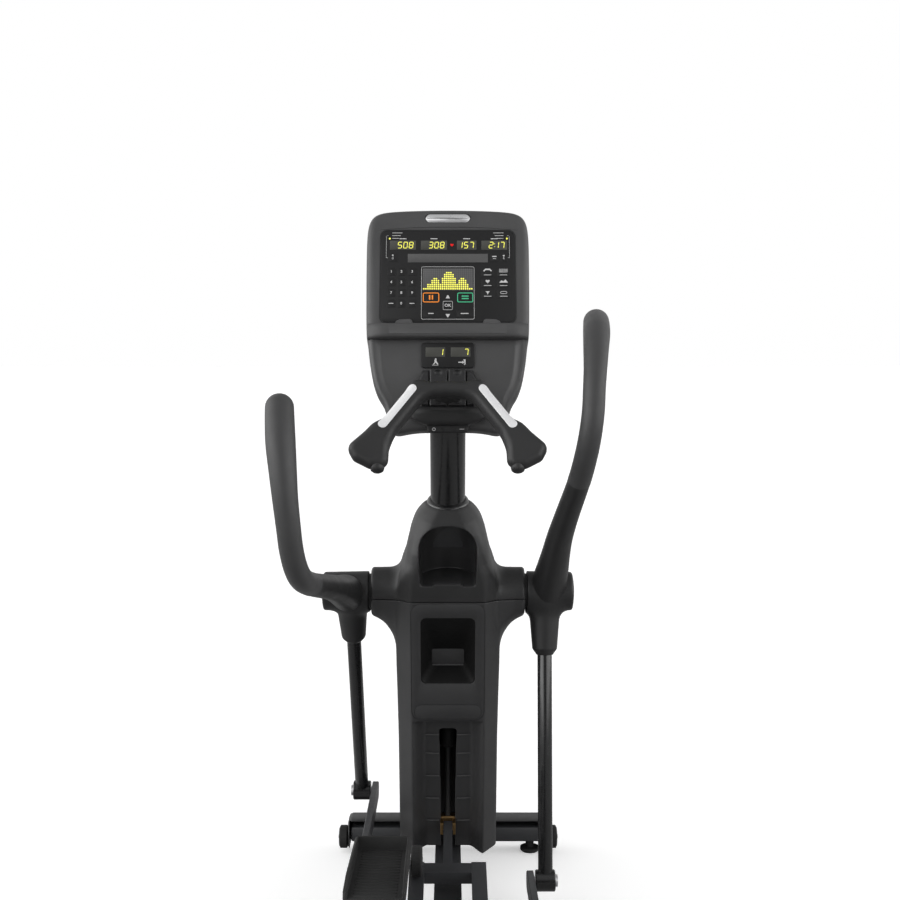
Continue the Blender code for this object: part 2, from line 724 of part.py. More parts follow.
def ramp():
    axis = empty("ramp_axis", (0, RAMP_PIVOT_Y, RAMP_PIVOT_Z))
    frame = plate("ramp_frame", strip(RAMP_END_Y - 0.045, RAMP_END_Y, -0.003, 0.032), -0.0975, 0.0975, PAINT)
    for side in (-1, 1):
        low, high = sorted((side * RAIL[0], side * RAIL[1]))
        join(frame, plate(f"rail_{side}", strip(-0.075, RAMP_END_Y + 0.003, -0.002, 0.022), low, high, PAINT))
        low, high = sorted((side * 0.050, side * (RAIL[0] + 0.003)))
        join(frame, plate(f"rail_heel_{side}", strip(-0.0745, -0.02, -0.0025, 0.0215), low, high, PAINT))
        low, high = sorted((side * 0.046, side * 0.055))
        hanger = capsule((-0.045, 0.07), (RAMP_PIVOT_Y, RAMP_PIVOT_Z), 0.022, 0.0219)
        join(frame, plate(f"hanger_{side}", hanger, low, high, PAINT))
        boss = rod(
            f"pivot_boss_{side}",
            (side * 0.0345, RAMP_PIVOT_Y, RAMP_PIVOT_Z),
            (side * 0.0575, RAMP_PIVOT_Y, RAMP_PIVOT_Z),
            0.017,
            PAINT,
        )
        join(frame, boss)
    join(frame, plate("lift_arm", strip(RAMP_END_Y - 0.03, LIFT_TIP_Y, -0.006, 0.03), -0.012, 0.012, PAINT))
    pivot = [(x, RAMP_PIVOT_Y, RAMP_PIVOT_Z) for x in (-0.0565, 0.0565)]
    join(frame, rod("pivot_pin", *pivot, 0.008, STEEL))
    hang(frame, axis)
    return frame


LIFT_SCREW_R = 0.008
LIFT_LOW = 0.115
LIFT_HIGH = 0.395
LIFT_STANDOFF = 0.030


def lift_tip(turn):
    """(y, z) of the middle of the lift arm's tip with the ramp raised by this angle."""
    y, z = LIFT_TIP_Y - RAMP_PIVOT_Y, track_z(LIFT_TIP_Y) - 0.018 - RAMP_PIVOT_Z
    return (
        RAMP_PIVOT_Y + y * math.cos(turn) - z * math.sin(turn),
        RAMP_PIVOT_Z + y * math.sin(turn) + z * math.cos(turn),
    )


TIP_LOW = lift_tip(0)
TIP_HIGH = lift_tip(INCLINE)
LIFT_LEAN = math.atan2(TIP_LOW[0] - TIP_HIGH[0], TIP_HIGH[1] - TIP_LOW[1])


def lift_line(z):
    """Y of the lift screw, which stands parallel to the chord of the tip's arc."""
    return TIP_LOW[0] + LIFT_STANDOFF - (z - TIP_LOW[1]) * math.tan(LIFT_LEAN)


def lift():
    """Motor, screw and the forked nut that carries the ramp's lift arm."""
    low, high = Vector((0, lift_line(LIFT_LOW), LIFT_LOW)), Vector((0, lift_line(LIFT_HIGH), LIFT_HIGH))
    along = (high - low).normalized()
    screw = rod("lift_screw", low, high, LIFT_SCREW_R, STEEL, 20)
    motor = turned(
        "lift_motor",
        high + along * (GAP + 0.0002),
        high + along * 0.115,
        ((0, 0.020), (0.06, 0.0245), (0.55, 0.0245), (0.56, 0.021), (1, 0.021)),
        IRON,
        24,
    )
    z = TIP_LOW[1]
    nut = box("lift_nut", (-0.026, -0.014, -0.02), (0.026, 0.014, 0.02), BRONZE, 0.002)
    for side in (-1, 1):
        low_x, high_x = sorted((side * 0.0135, side * 0.0205))
        join(nut, box(f"cheek_{side}", (low_x, -0.048, -0.016), (high_x, -0.0135, 0.016), BRONZE))
    bore = rod("nut_bore", (0, 0, -0.05), (0, 0, 0.05), LIFT_SCREW_R + 0.0005, BRONZE, 20)
    cut(nut, bore)
    placed = Matrix.Translation((0, lift_line(z), z)) @ Matrix.Rotation(LIFT_LEAN, 4, "X")
    for piece in [nut] + [m.object for m in nut.modifiers]:
        piece.matrix_world = placed
    hang(screw, empty("lift_screw_axis", low, LIFT_LEAN))
    return motor


# ---------------------------------------------------------------- foot beams
def beam(label):
    side, _, roller, pin, _ = SIDES[label]
    axis = empty(f"beam_axis_{label}", (0, *roller))

    def rail_along(name, low, high, radius, surface, sides=24):
        return rod(f"{name}_{label}", (side * low, *roller), (side * high, *roller), radius, surface, sides)

    axle = rail_along("roller_axle", 0.0625, 0.2035, PIN_R, STEEL, 20)
    wheel = turned(
        f"roller_wheel_{label}",
        (side * 0.064, *roller),
        (side * 0.092, *roller),
        ((0, 0.034), (0.12, ROLLER_R), (0.88, ROLLER_R), (1, 0.034)),
        RUBBER,
        32,
    )
    cut(wheel, rail_along("wheel_bore", 0.05, 0.1, BORE_R, RUBBER, 20))
    bushing = rail_along("beam_bushing", BEAM_IN + 0.0005, BEAM_OUT - 0.0005, 0.0175, BRONZE)
    cut(bushing, rail_along("bushing_bore", 0.1, 0.2, BORE_R, BRONZE, 20))
    inner, outer = sorted((side * BEAM_IN, side * BEAM_OUT))
    body = plate(f"foot_beam_{label}", capsule(pin, roller, 0.043, 0.030, 14), inner, outer, PAINT)
    cut(body, rail_along("beam_bore", 0.12, 0.2, 0.0178, PAINT))
    pad = foot_pad(label, side, roller, pin)
    for piece in (axle, wheel, bushing, body, pad):
        hang(piece, axis)


PAD_X = (0.090, 0.228)
PAD_Y = (-0.43, -0.065)


def foot_pad(label, side, roller, pin):
    """Moulded footplate: a shallow tray standing on the beam, with raised edges and a toe stop."""
    slope = math.atan2(roller[1] - pin[1], roller[0] - pin[0])
    rise = 0.0366
    low_x, high_x = sorted((side * PAD_X[0], side * PAD_X[1]))
    pad = box(f"foot_pad_{label}", (low_x, PAD_Y[0], rise), (high_x, PAD_Y[1], rise + 0.048), RUBBER, 0.01)
    tray_low = (low_x + 0.008, PAD_Y[0] - 0.02, rise + 0.014)
    hollow = box(f"pad_hollow_{label}", tray_low, (high_x - 0.008, PAD_Y[1] - 0.01, 0.15), RUBBER)
    wedge = plate(
        f"pad_wedge_{label}",
        [(PAD_Y[0] - 0.05, rise + 0.02), (PAD_Y[1] - 0.05, rise + 0.07), (PAD_Y[0] - 0.05, rise + 0.2)],
        low_x - 0.05,
        high_x + 0.05,
        RUBBER,
    )
    placed = Matrix.Translation((0, *roller)) @ Matrix.Rotation(slope, 4, "X")
    cut(pad, hollow, wedge)
    for piece in (pad, hollow, wedge):
        piece.matrix_world = placed
    return pad


# ---------------------------------------------------------------- drive
PULLEY_X = (-0.052, -0.036)
PULLEY_R = 0.14
SMALL_PULLEY_R = 0.030
CRANK_IN = 0.0945
CRANK_OUT = 0.1125


def crank():
    axis = empty("crank_axis", (0, CRANK_Y, CRANK_Z))
    axle = rod("crank_axle", (-CRANK_OUT, CRANK_Y, CRANK_Z), (CRANK_OUT, CRANK_Y, CRANK_Z), 0.0125, STEEL)
    pieces = [axle]
    for label, (side, _, _, pin, _) in SIDES.items():
        low, high = sorted((side * CRANK_IN, side * CRANK_OUT))
        web = plate(f"crank_arm_{label}", capsule((CRANK_Y, CRANK_Z), pin, 0.036, 0.026), low, high, PAINT)
        join(web, rod(f"crank_pin_{label}", (side * 0.1, *pin), (side * 0.134, *pin), 0.014, STEEL))
        cut(web, x_hole(f"web_bore_{label}", CRANK_Y, CRANK_Z, 0.0129, side * 0.08, side * 0.13))
        pieces.append(web)
    lip = PULLEY_R + 0.002
    pulley = turned(
        "drive_pulley",
        (PULLEY_X[0], CRANK_Y, CRANK_Z),
        (PULLEY_X[1], CRANK_Y, CRANK_Z),
        ((0, lip), (0.1, lip), (0.14, PULLEY_R), (0.86, PULLEY_R), (0.9, lip), (1, lip)),
        IRON,
        40,
    )
    holes = [x_hole("pulley_bore", CRANK_Y, CRANK_Z, 0.0129, -0.08, 0)]
    for k in range(5):
        t = math.tau * k / 5
        y, z = CRANK_Y + 0.082 * math.cos(t), CRANK_Z + 0.082 * math.sin(t)
        holes.append(x_hole(f"pulley_window_{k}", y, z, 0.032, -0.08, 0, 16))
    cut(pulley, *holes)
    pieces.append(pulley)
    for piece in pieces:
        hang(piece, axis)


def flywheel():
    axis = empty("flywheel_axis", (0, FLYWHEEL_Y, FLYWHEEL_Z))
    wheel = turned(
        "flywheel",
        (-0.058, FLYWHEEL_Y, FLYWHEEL_Z),
        (0.050, FLYWHEEL_Y, FLYWHEEL_Z),
        ((0, SMALL_PULLEY_R), (0.24, SMALL_PULLEY_R), (0.25, 0.02), (0.62, 0.02), (0.63, 0.1), (1, 0.1)),
        IRON,
        36,
    )
    rim_hollow = turned(
        "flywheel_hollow",
        (0.024, FLYWHEEL_Y, FLYWHEEL_Z),
        (0.06, FLYWHEEL_Y, FLYWHEEL_Z),
        ((0, 0.07), (1, 0.084)),
        IRON,
        36,
    )
    cut(wheel, rim_hollow)
    join(wheel, rod("flywheel_shaft", *[(x, FLYWHEEL_Y, FLYWHEEL_Z) for x in (-0.075, 0.075)], 0.006, STEEL, 16))
    hang(wheel, axis)


def belt():
    """Flat belt around both pulleys, outside their rims."""
    big, small = (CRANK_Y, CRANK_Z), (FLYWHEEL_Y, FLYWHEEL_Z)
    low, high = PULLEY_X[0] + 0.003, PULLEY_X[1] - 0.003
    outline = capsule(big, small, PULLEY_R + 0.0028, SMALL_PULLEY_R + 0.0028, 24)
    loop = plate("drive_belt", outline, low, high, RUBBER)
    inside = capsule(big, small, PULLEY_R + 0.0006, SMALL_PULLEY_R + 0.0006, 24)
    cut(loop, plate("belt_inside", inside, low - 0.01, high + 0.01, RUBBER))


def housing_outline(inset):
    """Side outline of the drive housing as (y, z): a round hood over the pulley, sloping to the front."""
    hood = 0.178 - inset
    points = [(-1.02 + inset, 0.022 + inset), (-1.02 + inset, 0.10)]
    for k in range(15):
        t = math.radians(158.0 - 8.2 * k)
        stretch = 1.0 + 0.42 * max(0.0, -math.cos(t)) ** 1.5
        points.append((CRANK_Y + hood * stretch * math.cos(t), CRANK_Z + hood * math.sin(t)))
    points += [(-0.40 - inset, 0.235 - inset), (-0.352 - inset, 0.13 - inset), (-0.345 - inset, 0.022 + inset)]
    return points


def rear_housing():
    for label, side in (("left", -1), ("right", 1)):
        steps = ((GAP / 2, 0), (0.0625, 0), (0.0735, 0.003), (0.0805, 0.009), (HOUSING_HALF, 0.019))
        shell = loft(
            f"rear_housing_{label}",
            [[(side * x, y, z) for y, z in housing_outline(inset)] for x, inset in steps],
            SHELL,
        )
        end = HOUSING_HALF - 0.0035
        inner = ((-0.01, 0.0035), (0.0625, 0.0035), (0.072, 0.0065), (0.078, 0.012), (end, 0.021))
        hollow = loft(
            f"housing_hollow_{label}",
            [[(side * x, y, z) for y, z in housing_outline(inset)] for x, inset in inner],
            SHELL,
        )
        window = box(f"housing_notch_{label}", (-0.3, -0.9665, 0.0), (0.3, -0.9035, 0.0815), SHELL)
        notch_half = SPINE_HALF + 0.002
        spine = box(f"housing_spine_notch_{label}", (-notch_half, -0.38, 0.0), (notch_half, -0.2, 0.097), SHELL)
        bore = x_hole(f"housing_bore_{label}", CRANK_Y, CRANK_Z, 0.02, side * 0.05, side * 0.1)
        cut(shell, hollow, bore, window, spine)


def front_cover():
    front = box("front_cover", (-0.2925, 0.935, 0.012), (0.2925, 1.012, 0.104), SHELL, 0.012)
    inside = box("front_cover_hollow", (-0.2885, 0.9, -0.05), (0.2885, 1.008, 0.1), SHELL)
    cut(front, inside, x_hole("stub_hole", 0.9725, 0.042, 0.0068, -0.4, 0.4, 16))


# ---------------------------------------------------------------- console
def console_outline(inset):
    """Front outline of the console as (x, height), right half from the foot up to the crown."""
    half = [
        (0.100, 0.000),
        (0.122, -0.006),
        (0.138, 0.030),
        (0.1565, 0.0734),
        (0.1716, 0.099),
        (0.1815, 0.125),
        (0.192, 0.176),
        (0.198, 0.228),
        (0.2035, 0.256),
        (0.206, 0.40),
        (0.2063, 0.503),
        (0.2035, 0.553),
        (0.191, 0.5815),
        (0.165, 0.594),
        (0.11, 0.5995),
        (0.04, 0.602),
    ]
    middle = Vector((0.0, 0.3))
    points = []
    for x, z in half:
        away = Vector((x, z)) - middle
        points.append(middle + away * (1 - inset / away.length))
    return [(p.x, p.y) for p in points] + [(-p.x, p.y) for p in reversed(points)]


def console_solid(name, steps, surface):
    """Lofts the outline through (depth, inset) steps in the console's own frame."""
    return loft(name, [[(x, y, z) for x, z in console_outline(inset)] for y, inset in steps], surface)


NOTCH_HALF = 0.094
NOTCH_TOP = 0.0665


def console():
    placed = Matrix.Translation((0, CONSOLE_Y, CONSOLE_Z)) @ Matrix.Rotation(-CONSOLE_TILT, 4, "X")

    def notch(name):
        return box(name, (-NOTCH_HALF, -0.1, -0.1), (NOTCH_HALF, 0.2, NOTCH_TOP), CONSOLE)

    front = console_solid("console_front", ((0, 0.014), (0.004, 0.005), (0.012, 0), (0.034, 0)), CONSOLE)
    ledge = box("reading_ledge", (-0.2015, -0.018, 0.2455), (0.2015, 0.012, 0.2835), CONSOLE, 0.005)
    pocket = console_solid("front_pocket", ((0.0045, 0.02), (0.05, 0.0045)), CONSOLE)
    join(front, ledge)
    cut(front, pocket, notch("front_notch"))
    outer = ((0.034 + GAP, 0), (0.05, 0.002), (0.072, 0.014), (0.082, 0.034))
    inner = ((0.02, 0.004), (0.05, 0.006), (0.068, 0.018), (0.0785, 0.038))
    back = console_solid("console_back", outer, CONSOLE)
    hollow = console_solid("back_hollow", inner, CONSOLE)
    cut(back, hollow, notch("back_notch"))

    def sheet(name, low, high, radius, near, far, surface):
        return loft(name, [[(x, y, z) for x, z in rounded(low, high, radius)] for y in (near, far)], surface)

    overlay = sheet("display_overlay", (-0.1705, 0.288), (0.1705, 0.533), 0.016, -0.0022, -GAP, GLOSS)
    lower = sheet("lower_display", (-0.065, 0.171), (0.065, 0.236), 0.007, -0.0022, -GAP, GLOSS)
    pieces = [front, back, overlay, lower]
    for piece in list(pieces):
        pieces += [m.object for m in piece.modifiers if m.type == "BOOLEAN"]
    for piece in pieces:
        piece.matrix_world = placed
    toggles(placed)


TOGGLE_Z = (0.072, 0.158)


def toggles(placed):
    """Two sprung rocker paddles, each on its own cross axis, above the pulse bar."""
    height = sum(TOGGLE_Z) / 2
    for label, side in (("left", -1), ("right", 1)):
        axis = empty(f"toggle_axis_{label}", placed @ Vector((0, -0.012, height)), -CONSOLE_TILT)
        outline = [
            (-0.0035, TOGGLE_Z[0] + 0.004),
            (-0.0035, TOGGLE_Z[1] - 0.004),
            (-0.012, TOGGLE_Z[1]),
            (-0.0225, TOGGLE_Z[1] - 0.002),
            (-0.0185, height + 0.02),
            (-0.0165, height),
            (-0.0185, height - 0.02),
            (-0.0225, TOGGLE_Z[0] + 0.002),
            (-0.012, TOGGLE_Z[0]),
        ]
        low, high = sorted((side * 0.0008, side * 0.0645))
        paddle = plate(f"toggle_{label}", outline, low, high, TRIM)
        paddle.matrix_world = placed
        hang(paddle, axis)


NECK = (
    # Height, half width, front y, back y.
    (1.263, 0.047, 0.425, 0.555),
    (1.278, 0.052, 0.412, 0.548),
    (1.292, 0.070, 0.385, 0.528),
    (1.306, 0.088, 0.368, 0.485),
    (1.316, 0.090, 0.366, 0.455),
)


def neck():
    rings = []
    for z, half, front, back in NECK:
        soft = 0.3 * half
        rings.append(
            [
                (half, back - soft, z),
                (half, front + soft, z),
                (half - soft * 0.35, front + soft * 0.3, z),
                (half - soft, front, z),
                (-half + soft, front, z),
                (-half + soft * 0.35, front + soft * 0.3, z),
                (-half, front + soft, z),
                (-half, back - soft, z),
                (-half + soft, back, z),
                (half - soft, back, z),
            ]
        )
    low, high = Vector((0, upright_y(1.2), 1.2)), Vector((0, upright_y(1.2625), 1.2625))
    return cut(loft("console_neck", rings, TRIM), rod("neck_socket", low, high, 0.0448, TRIM, 32))


def mirrored(points):
    return [(-x, y, z) for x, y, z in reversed(points)]


PULSE_LEG = (
    # X, y, z and radius from the crossbar's bend down to the flared end.
    (0.066, 0.331, 1.3700, 0.0225),
    (0.085, 0.328, 1.3655, 0.0225),
    (0.100, 0.322, 1.3530, 0.0222),
    (0.124, 0.306, 1.3230, 0.0220),
    (0.148, 0.290, 1.2920, 0.0225),
    (0.162, 0.279, 1.2710, 0.0275),
    (0.171, 0.270, 1.2520, 0.0370),
    (0.176, 0.262, 1.2330, 0.0450),
    (0.176, 0.257, 1.2170, 0.0440),
    (0.173, 0.253, 1.2060, 0.0340),
    (0.170, 0.251, 1.2010, 0.0200),
)


def pulse_bar():
    half = [(x, y, z) for x, y, z, _ in PULSE_LEG]
    path = mirrored(half) + [(0, 0.332, 1.3705)] + half
    radii = [r for *_, r in reversed(PULSE_LEG)] + [0.0225] + [r for *_, r in PULSE_LEG]
    rings = []
    for k, point in enumerate(path):
        ahead = Vector(path[min(k + 1, len(path) - 1)]) - Vector(path[max(k - 1, 0)])
        ahead.normalize()
        # The flared ends stay flat fore and aft, however wide they grow.
        thin = Vector((0, 1, 0)) - ahead * ahead.y
        thin.normalize()
        wide = ahead.cross(thin)
        depth = min(radii[k], 0.021)
        rings.append(
            [
                Vector(point) + radii[k] * math.cos(t) * wide + depth * math.sin(t) * thin
                for t in (math.tau * i / 16 for i in range(16))
            ]
        )
    bar = loft("pulse_bar", rings, GRIP)
    for side in (-1, 1):
        bracket = [
            [(side * x, y, z) for x, z in ((0.0695, 1.358), (0.0845, 1.358), (0.0845, 1.378), (0.0695, 1.378))]
            for y in (0.335, 0.4405)
        ]
        join(bar, loft(f"bar_bracket_{side}", bracket, GRIP))
    for label, side in (("left", -1), ("right", 1)):
        pulse_sensor(label, side)


def pulse_sensor(label, side):
    """Curved stainless pad on the upper, outer face of one leg."""
    start, end = Vector(PULSE_LEG[2][:3]), Vector(PULSE_LEG[4][:3])
    start.x, end.x = side * start.x, side * end.x
    ahead = (end - start).normalized()
    thin = (Vector((0, 1, 0)) - ahead * ahead.y).normalized()
    wide = ahead.cross(thin)
    rings = []
    for share in (0.02, 0.06, 0.94, 0.98):
        narrow = 1.0 if 0.05 < share < 0.95 else 0.6
        ring = []
        for inner in (False, True):
            steps = [-75 + 150 * k / 8 for k in range(9)]
            for turn in reversed(steps) if inner else steps:
                # Zero points at the user; the pad leans to the outside of the leg.
                t = math.radians(turn * narrow - 25 * side) + math.pi
                radius = 0.0235 if inner else 0.0247
                ring.append(start.lerp(end, share) + radius * (math.cos(t) * thin + math.sin(t) * -wide))
        rings.append(ring)
    return loft(f"pulse_sensor_{label}", rings, STEEL)


# ---------------------------------------------------------------- assembly
base_frame()
feet()
transport_wheels()
tower()
upright()
rod("shoulder_axle", (-0.295, SHOULDER_Y, SHOULDER_Z), (0.295, SHOULDER_Y, SHOULDER_Z), 0.0125, STEEL)
for which in SIDES:
    arm(which)
    links(which)
    beam(which)
ramp()
lift()
crank()
flywheel()
belt()
rear_housing()
front_cover()
console()
neck()
pulse_bar()
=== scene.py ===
"""Looks of the elliptical trainer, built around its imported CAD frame.

Metres, +Z up, +Y towards the console tower.
"""

import json
import math

import bmesh
import bpy
import numpy as np
import openvdb
from mathutils import Matrix, Vector

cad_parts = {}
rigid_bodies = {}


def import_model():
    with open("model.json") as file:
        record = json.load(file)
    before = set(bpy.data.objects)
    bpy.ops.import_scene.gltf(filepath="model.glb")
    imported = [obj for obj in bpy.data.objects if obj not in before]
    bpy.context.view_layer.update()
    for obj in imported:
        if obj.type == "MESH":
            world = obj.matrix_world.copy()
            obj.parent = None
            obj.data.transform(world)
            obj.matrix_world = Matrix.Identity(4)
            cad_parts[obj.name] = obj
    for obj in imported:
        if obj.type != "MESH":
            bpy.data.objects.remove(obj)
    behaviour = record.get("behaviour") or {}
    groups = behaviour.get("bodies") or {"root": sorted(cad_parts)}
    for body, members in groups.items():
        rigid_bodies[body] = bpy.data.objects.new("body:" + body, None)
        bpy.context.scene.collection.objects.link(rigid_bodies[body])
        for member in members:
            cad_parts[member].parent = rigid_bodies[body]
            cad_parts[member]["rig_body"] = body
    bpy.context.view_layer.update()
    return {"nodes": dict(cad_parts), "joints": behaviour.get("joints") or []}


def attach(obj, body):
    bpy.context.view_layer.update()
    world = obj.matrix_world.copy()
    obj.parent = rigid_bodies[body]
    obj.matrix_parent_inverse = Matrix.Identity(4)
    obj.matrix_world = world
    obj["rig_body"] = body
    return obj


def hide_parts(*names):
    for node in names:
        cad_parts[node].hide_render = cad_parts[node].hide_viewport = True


for old in list(bpy.data.objects):
    bpy.data.objects.remove(old)

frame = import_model()
NODES = frame["nodes"]
JOINTS = {joint["name"]: joint for joint in frame["joints"]}

# ---------------------------------------------------------------- places, read from the frame's joints
SHOULDER = Vector((0, *JOINTS["stride"]["pos_m"][1:]))
SWING = math.radians(-JOINTS["stride"]["range_deg"][0])
FEET = {side: Vector((0, *JOINTS[f"link_pin_{side}"]["pos_m"][1:])) for side in ("left", "right")}
SIGN = {"left": -1, "right": 1}
TOWER_LEAN = math.radians(14.0)
UPRIGHT_LEAN = math.radians(20.0)
CONSOLE = Matrix.Translation((0, 0.42, 1.26)) @ Matrix.Rotation(math.radians(-18.0), 4, "X")
TOWER = Matrix.Translation(SHOULDER) @ Matrix.Rotation(TOWER_LEAN, 4, "X")
RIGHT_TURN = Matrix.Translation(SHOULDER) @ Matrix.Rotation(-SWING, 4, "X") @ Matrix.Translation(-SHOULDER)


# ---------------------------------------------------------------- materials
def nodes_of(name):
    made = bpy.data.materials.new(name)
    made.use_nodes = True
    tree = made.node_tree
    return made, tree, tree.nodes["Principled BSDF"]


def add(tree, kind, **values):
    """A shader node, with attributes set by name and input sockets set by name where they match."""
    made = tree.nodes.new(kind)
    for key, value in values.items():
        if key in (
            "operation", "data_type", "blend_type", "feature", "noise_dimensions", "wave_type",
            "bands_direction"
        ):
            setattr(made, key, value)
        else:
            made.inputs[key.replace("_", " ")].default_value = value
    return made


def spread(tree, source, low, high, out_low, out_high):
    """Maps a 0..1 signal to another range."""
    made = add(tree, "ShaderNodeMapRange", From_Min=low, From_Max=high, To_Min=out_low, To_Max=out_high)
    tree.links.new(source, made.inputs["Value"])
    return made.outputs["Result"]


def noise(tree, scale, detail=3.0, stretch=None):
    where = tree.nodes.new("ShaderNodeTexCoord").outputs["Object"]
    if stretch:
        mapping = add(tree, "ShaderNodeMapping", Scale=stretch)
        tree.links.new(where, mapping.inputs["Vector"])
        where = mapping.outputs["Vector"]
    made = add(tree, "ShaderNodeTexNoise", Scale=scale, Detail=detail)
    tree.links.new(where, made.inputs["Vector"])
    return made.outputs["Fac"]


def tint(tree, factor, first, second):
    made = tree.nodes.new("ShaderNodeMix")
    made.data_type = "RGBA"
    made.inputs["A"].default_value = (*first, 1)
    made.inputs["B"].default_value = (*second, 1)
    tree.links.new(factor, made.inputs["Factor"])
    return made.outputs["Result"]


def surface(
    name, colour, roughness, metallic=0.0, grain=1400.0, bump=0.00012, vary=0.08, worn=0.1, stretch=None,
    **shader
):
    """A moulded, painted or metal finish: fine grain, blotches in colour and gloss, lighter edges."""
    made, tree, principled = nodes_of(name)
    blotch = noise(tree, 9.0, 5.0)
    darker = tuple(c * (1 - vary) for c in colour)
    lighter = tuple(min(1.0, c * (1 + vary)) for c in colour)
    body = tint(tree, spread(tree, blotch, 0.3, 0.7, 0, 1), darker, lighter)
    if worn:
        edge = spread(
            tree, tree.nodes.new("ShaderNodeNewGeometry").outputs["Pointiness"], 0.52, 0.62, 0, worn
        )
        mixed = tree.nodes.new("ShaderNodeMix")
        mixed.data_type = "RGBA"
        mixed.inputs["B"].default_value = (*(min(1.0, c * 2.2 + 0.04) for c in colour), 1)
        tree.links.new(body, mixed.inputs["A"])
        tree.links.new(edge, mixed.inputs["Factor"])
        body = mixed.outputs["Result"]
    tree.links.new(body, principled.inputs["Base Color"])
    fine = noise(tree, grain, 2.0, stretch)
    smear = noise(tree, 38.0, 4.0)
    shine = tree.nodes.new("ShaderNodeMath")
    shine.operation = "ADD"
    tree.links.new(spread(tree, fine, 0.3, 0.7, roughness - 0.05, roughness + 0.05), shine.inputs[0])
    tree.links.new(spread(tree, smear, 0.3, 0.7, -0.04, 0.05), shine.inputs[1])
    tree.links.new(shine.outputs["Value"], principled.inputs["Roughness"])
    relief = add(tree, "ShaderNodeBump", Strength=1.0, Distance=bump)
    tree.links.new(fine, relief.inputs["Height"])
    tree.links.new(relief.outputs["Normal"], principled.inputs["Normal"])
    principled.inputs["Metallic"].default_value = metallic
    for key, value in shader.items():
        principled.inputs[key.replace("_", " ")].default_value = value
    return made


def glowing(name, colour, strength, base):
    """Printed marks given a painted glow, and lit marks, behind the display film."""
    made, tree, principled = nodes_of(name)
    flicker = noise(tree, 260.0, 2.0)
    tree.links.new(tint(tree, flicker, tuple(c * 0.9 for c in base), base), principled.inputs["Base Color"])
    principled.inputs["Roughness"].default_value = 0.45
    principled.inputs["Emission Color"].default_value = (*colour, 1)
    principled.inputs["Emission Strength"].default_value = strength
    return made


def dot_grid(name, ground, dot, pitch, radius):
    """A window with a regular grid of unlit dots, in the console's own plane."""
    made, tree, principled = nodes_of(name)
    where = tree.nodes.new("ShaderNodeTexCoord").outputs["Object"]
    split = tree.nodes.new("ShaderNodeSeparateXYZ")
    tree.links.new(where, split.inputs["Vector"])
    squares = []
    for axis in ("X", "Z"):
        turn = add(tree, "ShaderNodeMath", operation="MULTIPLY")
        turn.inputs[1].default_value = math.pi / pitch
        tree.links.new(split.outputs[axis], turn.inputs[0])
        wave = add(tree, "ShaderNodeMath", operation="SINE")
        tree.links.new(turn.outputs["Value"], wave.inputs[0])
        power = add(tree, "ShaderNodeMath", operation="MULTIPLY")
        tree.links.new(wave.outputs["Value"], power.inputs[0])
        tree.links.new(wave.outputs["Value"], power.inputs[1])
        squares.append(power.outputs["Value"])
    both = add(tree, "ShaderNodeMath", operation="MULTIPLY")
    tree.links.new(squares[0], both.inputs[0])
    tree.links.new(squares[1], both.inputs[1])
    edge = math.sin(math.pi * (0.5 - radius / pitch)) ** 2
    factor = spread(tree, both.outputs["Value"], edge - 0.15, edge + 0.1, 0, 1)
    tree.links.new(tint(tree, factor, ground, dot), principled.inputs["Base Color"])
    principled.inputs["Roughness"].default_value = 0.3
    return made


SHELL = surface("shell_charcoal", (0.037, 0.037, 0.038), 0.42, Specular_IOR_Level=0.5)
ARM = surface("arm_charcoal", (0.019, 0.019, 0.0195), 0.42)
# The shell plastic again, made darker: painted shade on the upper tower shell, which is the same moulding as
# the lower.
SHELL_PAINTED_SHADE = surface("shell_charcoal_painted_shade", (0.028, 0.028, 0.0285), 0.44, Specular_IOR_Level=0.4)
HOUSING = surface("console_charcoal", (0.063, 0.063, 0.064), 0.42, grain=1700.0, vary=0.1)
DARK = surface("trim_black", (0.012, 0.012, 0.013), 0.5, vary=0.2)
CUP = surface("cup_matt", (0.034, 0.034, 0.035), 0.36, grain=900.0, vary=0.04, worn=0)
# Near-black used as painted shade: in the tray's recess, in the vent slots and on the lift motor in its slot.
BLACK_PAINTED_SHADE = surface("painted_shade_black", (0.006, 0.006, 0.006), 0.6, grain=900.0, Specular_IOR_Level=0.2)
SOFT = surface(
    "grip_soft", (0.043, 0.043, 0.044), 0.5, grain=1900.0, bump=0.00016, worn=0.05, Sheen_Weight=0.08
)
PULSE = surface("pulse_moulding", (0.017, 0.017, 0.0175), 0.46, grain=1900.0)
TUBE = surface(
    "tube_gloss", (0.009, 0.009, 0.0095), 0.24, 0.1, grain=2600.0, bump=0.00001, vary=0.03, worn=0,
    Coat_Weight=0.6, Coat_Roughness=0.18
)
PAINT = surface("frame_powder", (0.040, 0.041, 0.044), 0.42, 0.1, grain=1100.0, bump=0.00018)
RUBBER = surface("rubber_black", (0.012, 0.012, 0.012), 0.72, grain=700.0, bump=0.0003, vary=0.3)
STEEL = surface(
    "steel_brushed", (0.62, 0.62, 0.63), 0.3, 1.0, grain=60.0, bump=0.00002, stretch=(2, 30, 30), worn=0
)
SENSOR = surface(
    "sensor_steel", (0.93, 0.93, 0.94), 0.34, 0.35, grain=40.0, bump=0.00001, stretch=(30, 3, 3), vary=0.02,
    worn=0
)
BADGE = surface(
    "badge_satin", (0.72, 0.72, 0.73), 0.32, 0.85, grain=50.0, bump=0.00001, stretch=(2, 30, 30), vary=0.03,
    worn=0
)
GREASED = surface("steel_greased", (0.05, 0.05, 0.05), 0.5, 0.6, grain=500.0, bump=0.00004)
IRON = surface("iron_turned", (0.10, 0.10, 0.105), 0.45, 0.9, grain=90.0, bump=0.00005, stretch=(30, 4, 4))
BRONZE = surface("bronze_turned", (0.42, 0.27, 0.12), 0.38, 1.0, grain=300.0, bump=0.00003)
FILM = surface(
    "display_film", (0.0125, 0.0125, 0.013), 0.45, grain=2400.0, bump=0.00002, vary=0.06, worn=0,
    Specular_IOR_Level=0.3
)
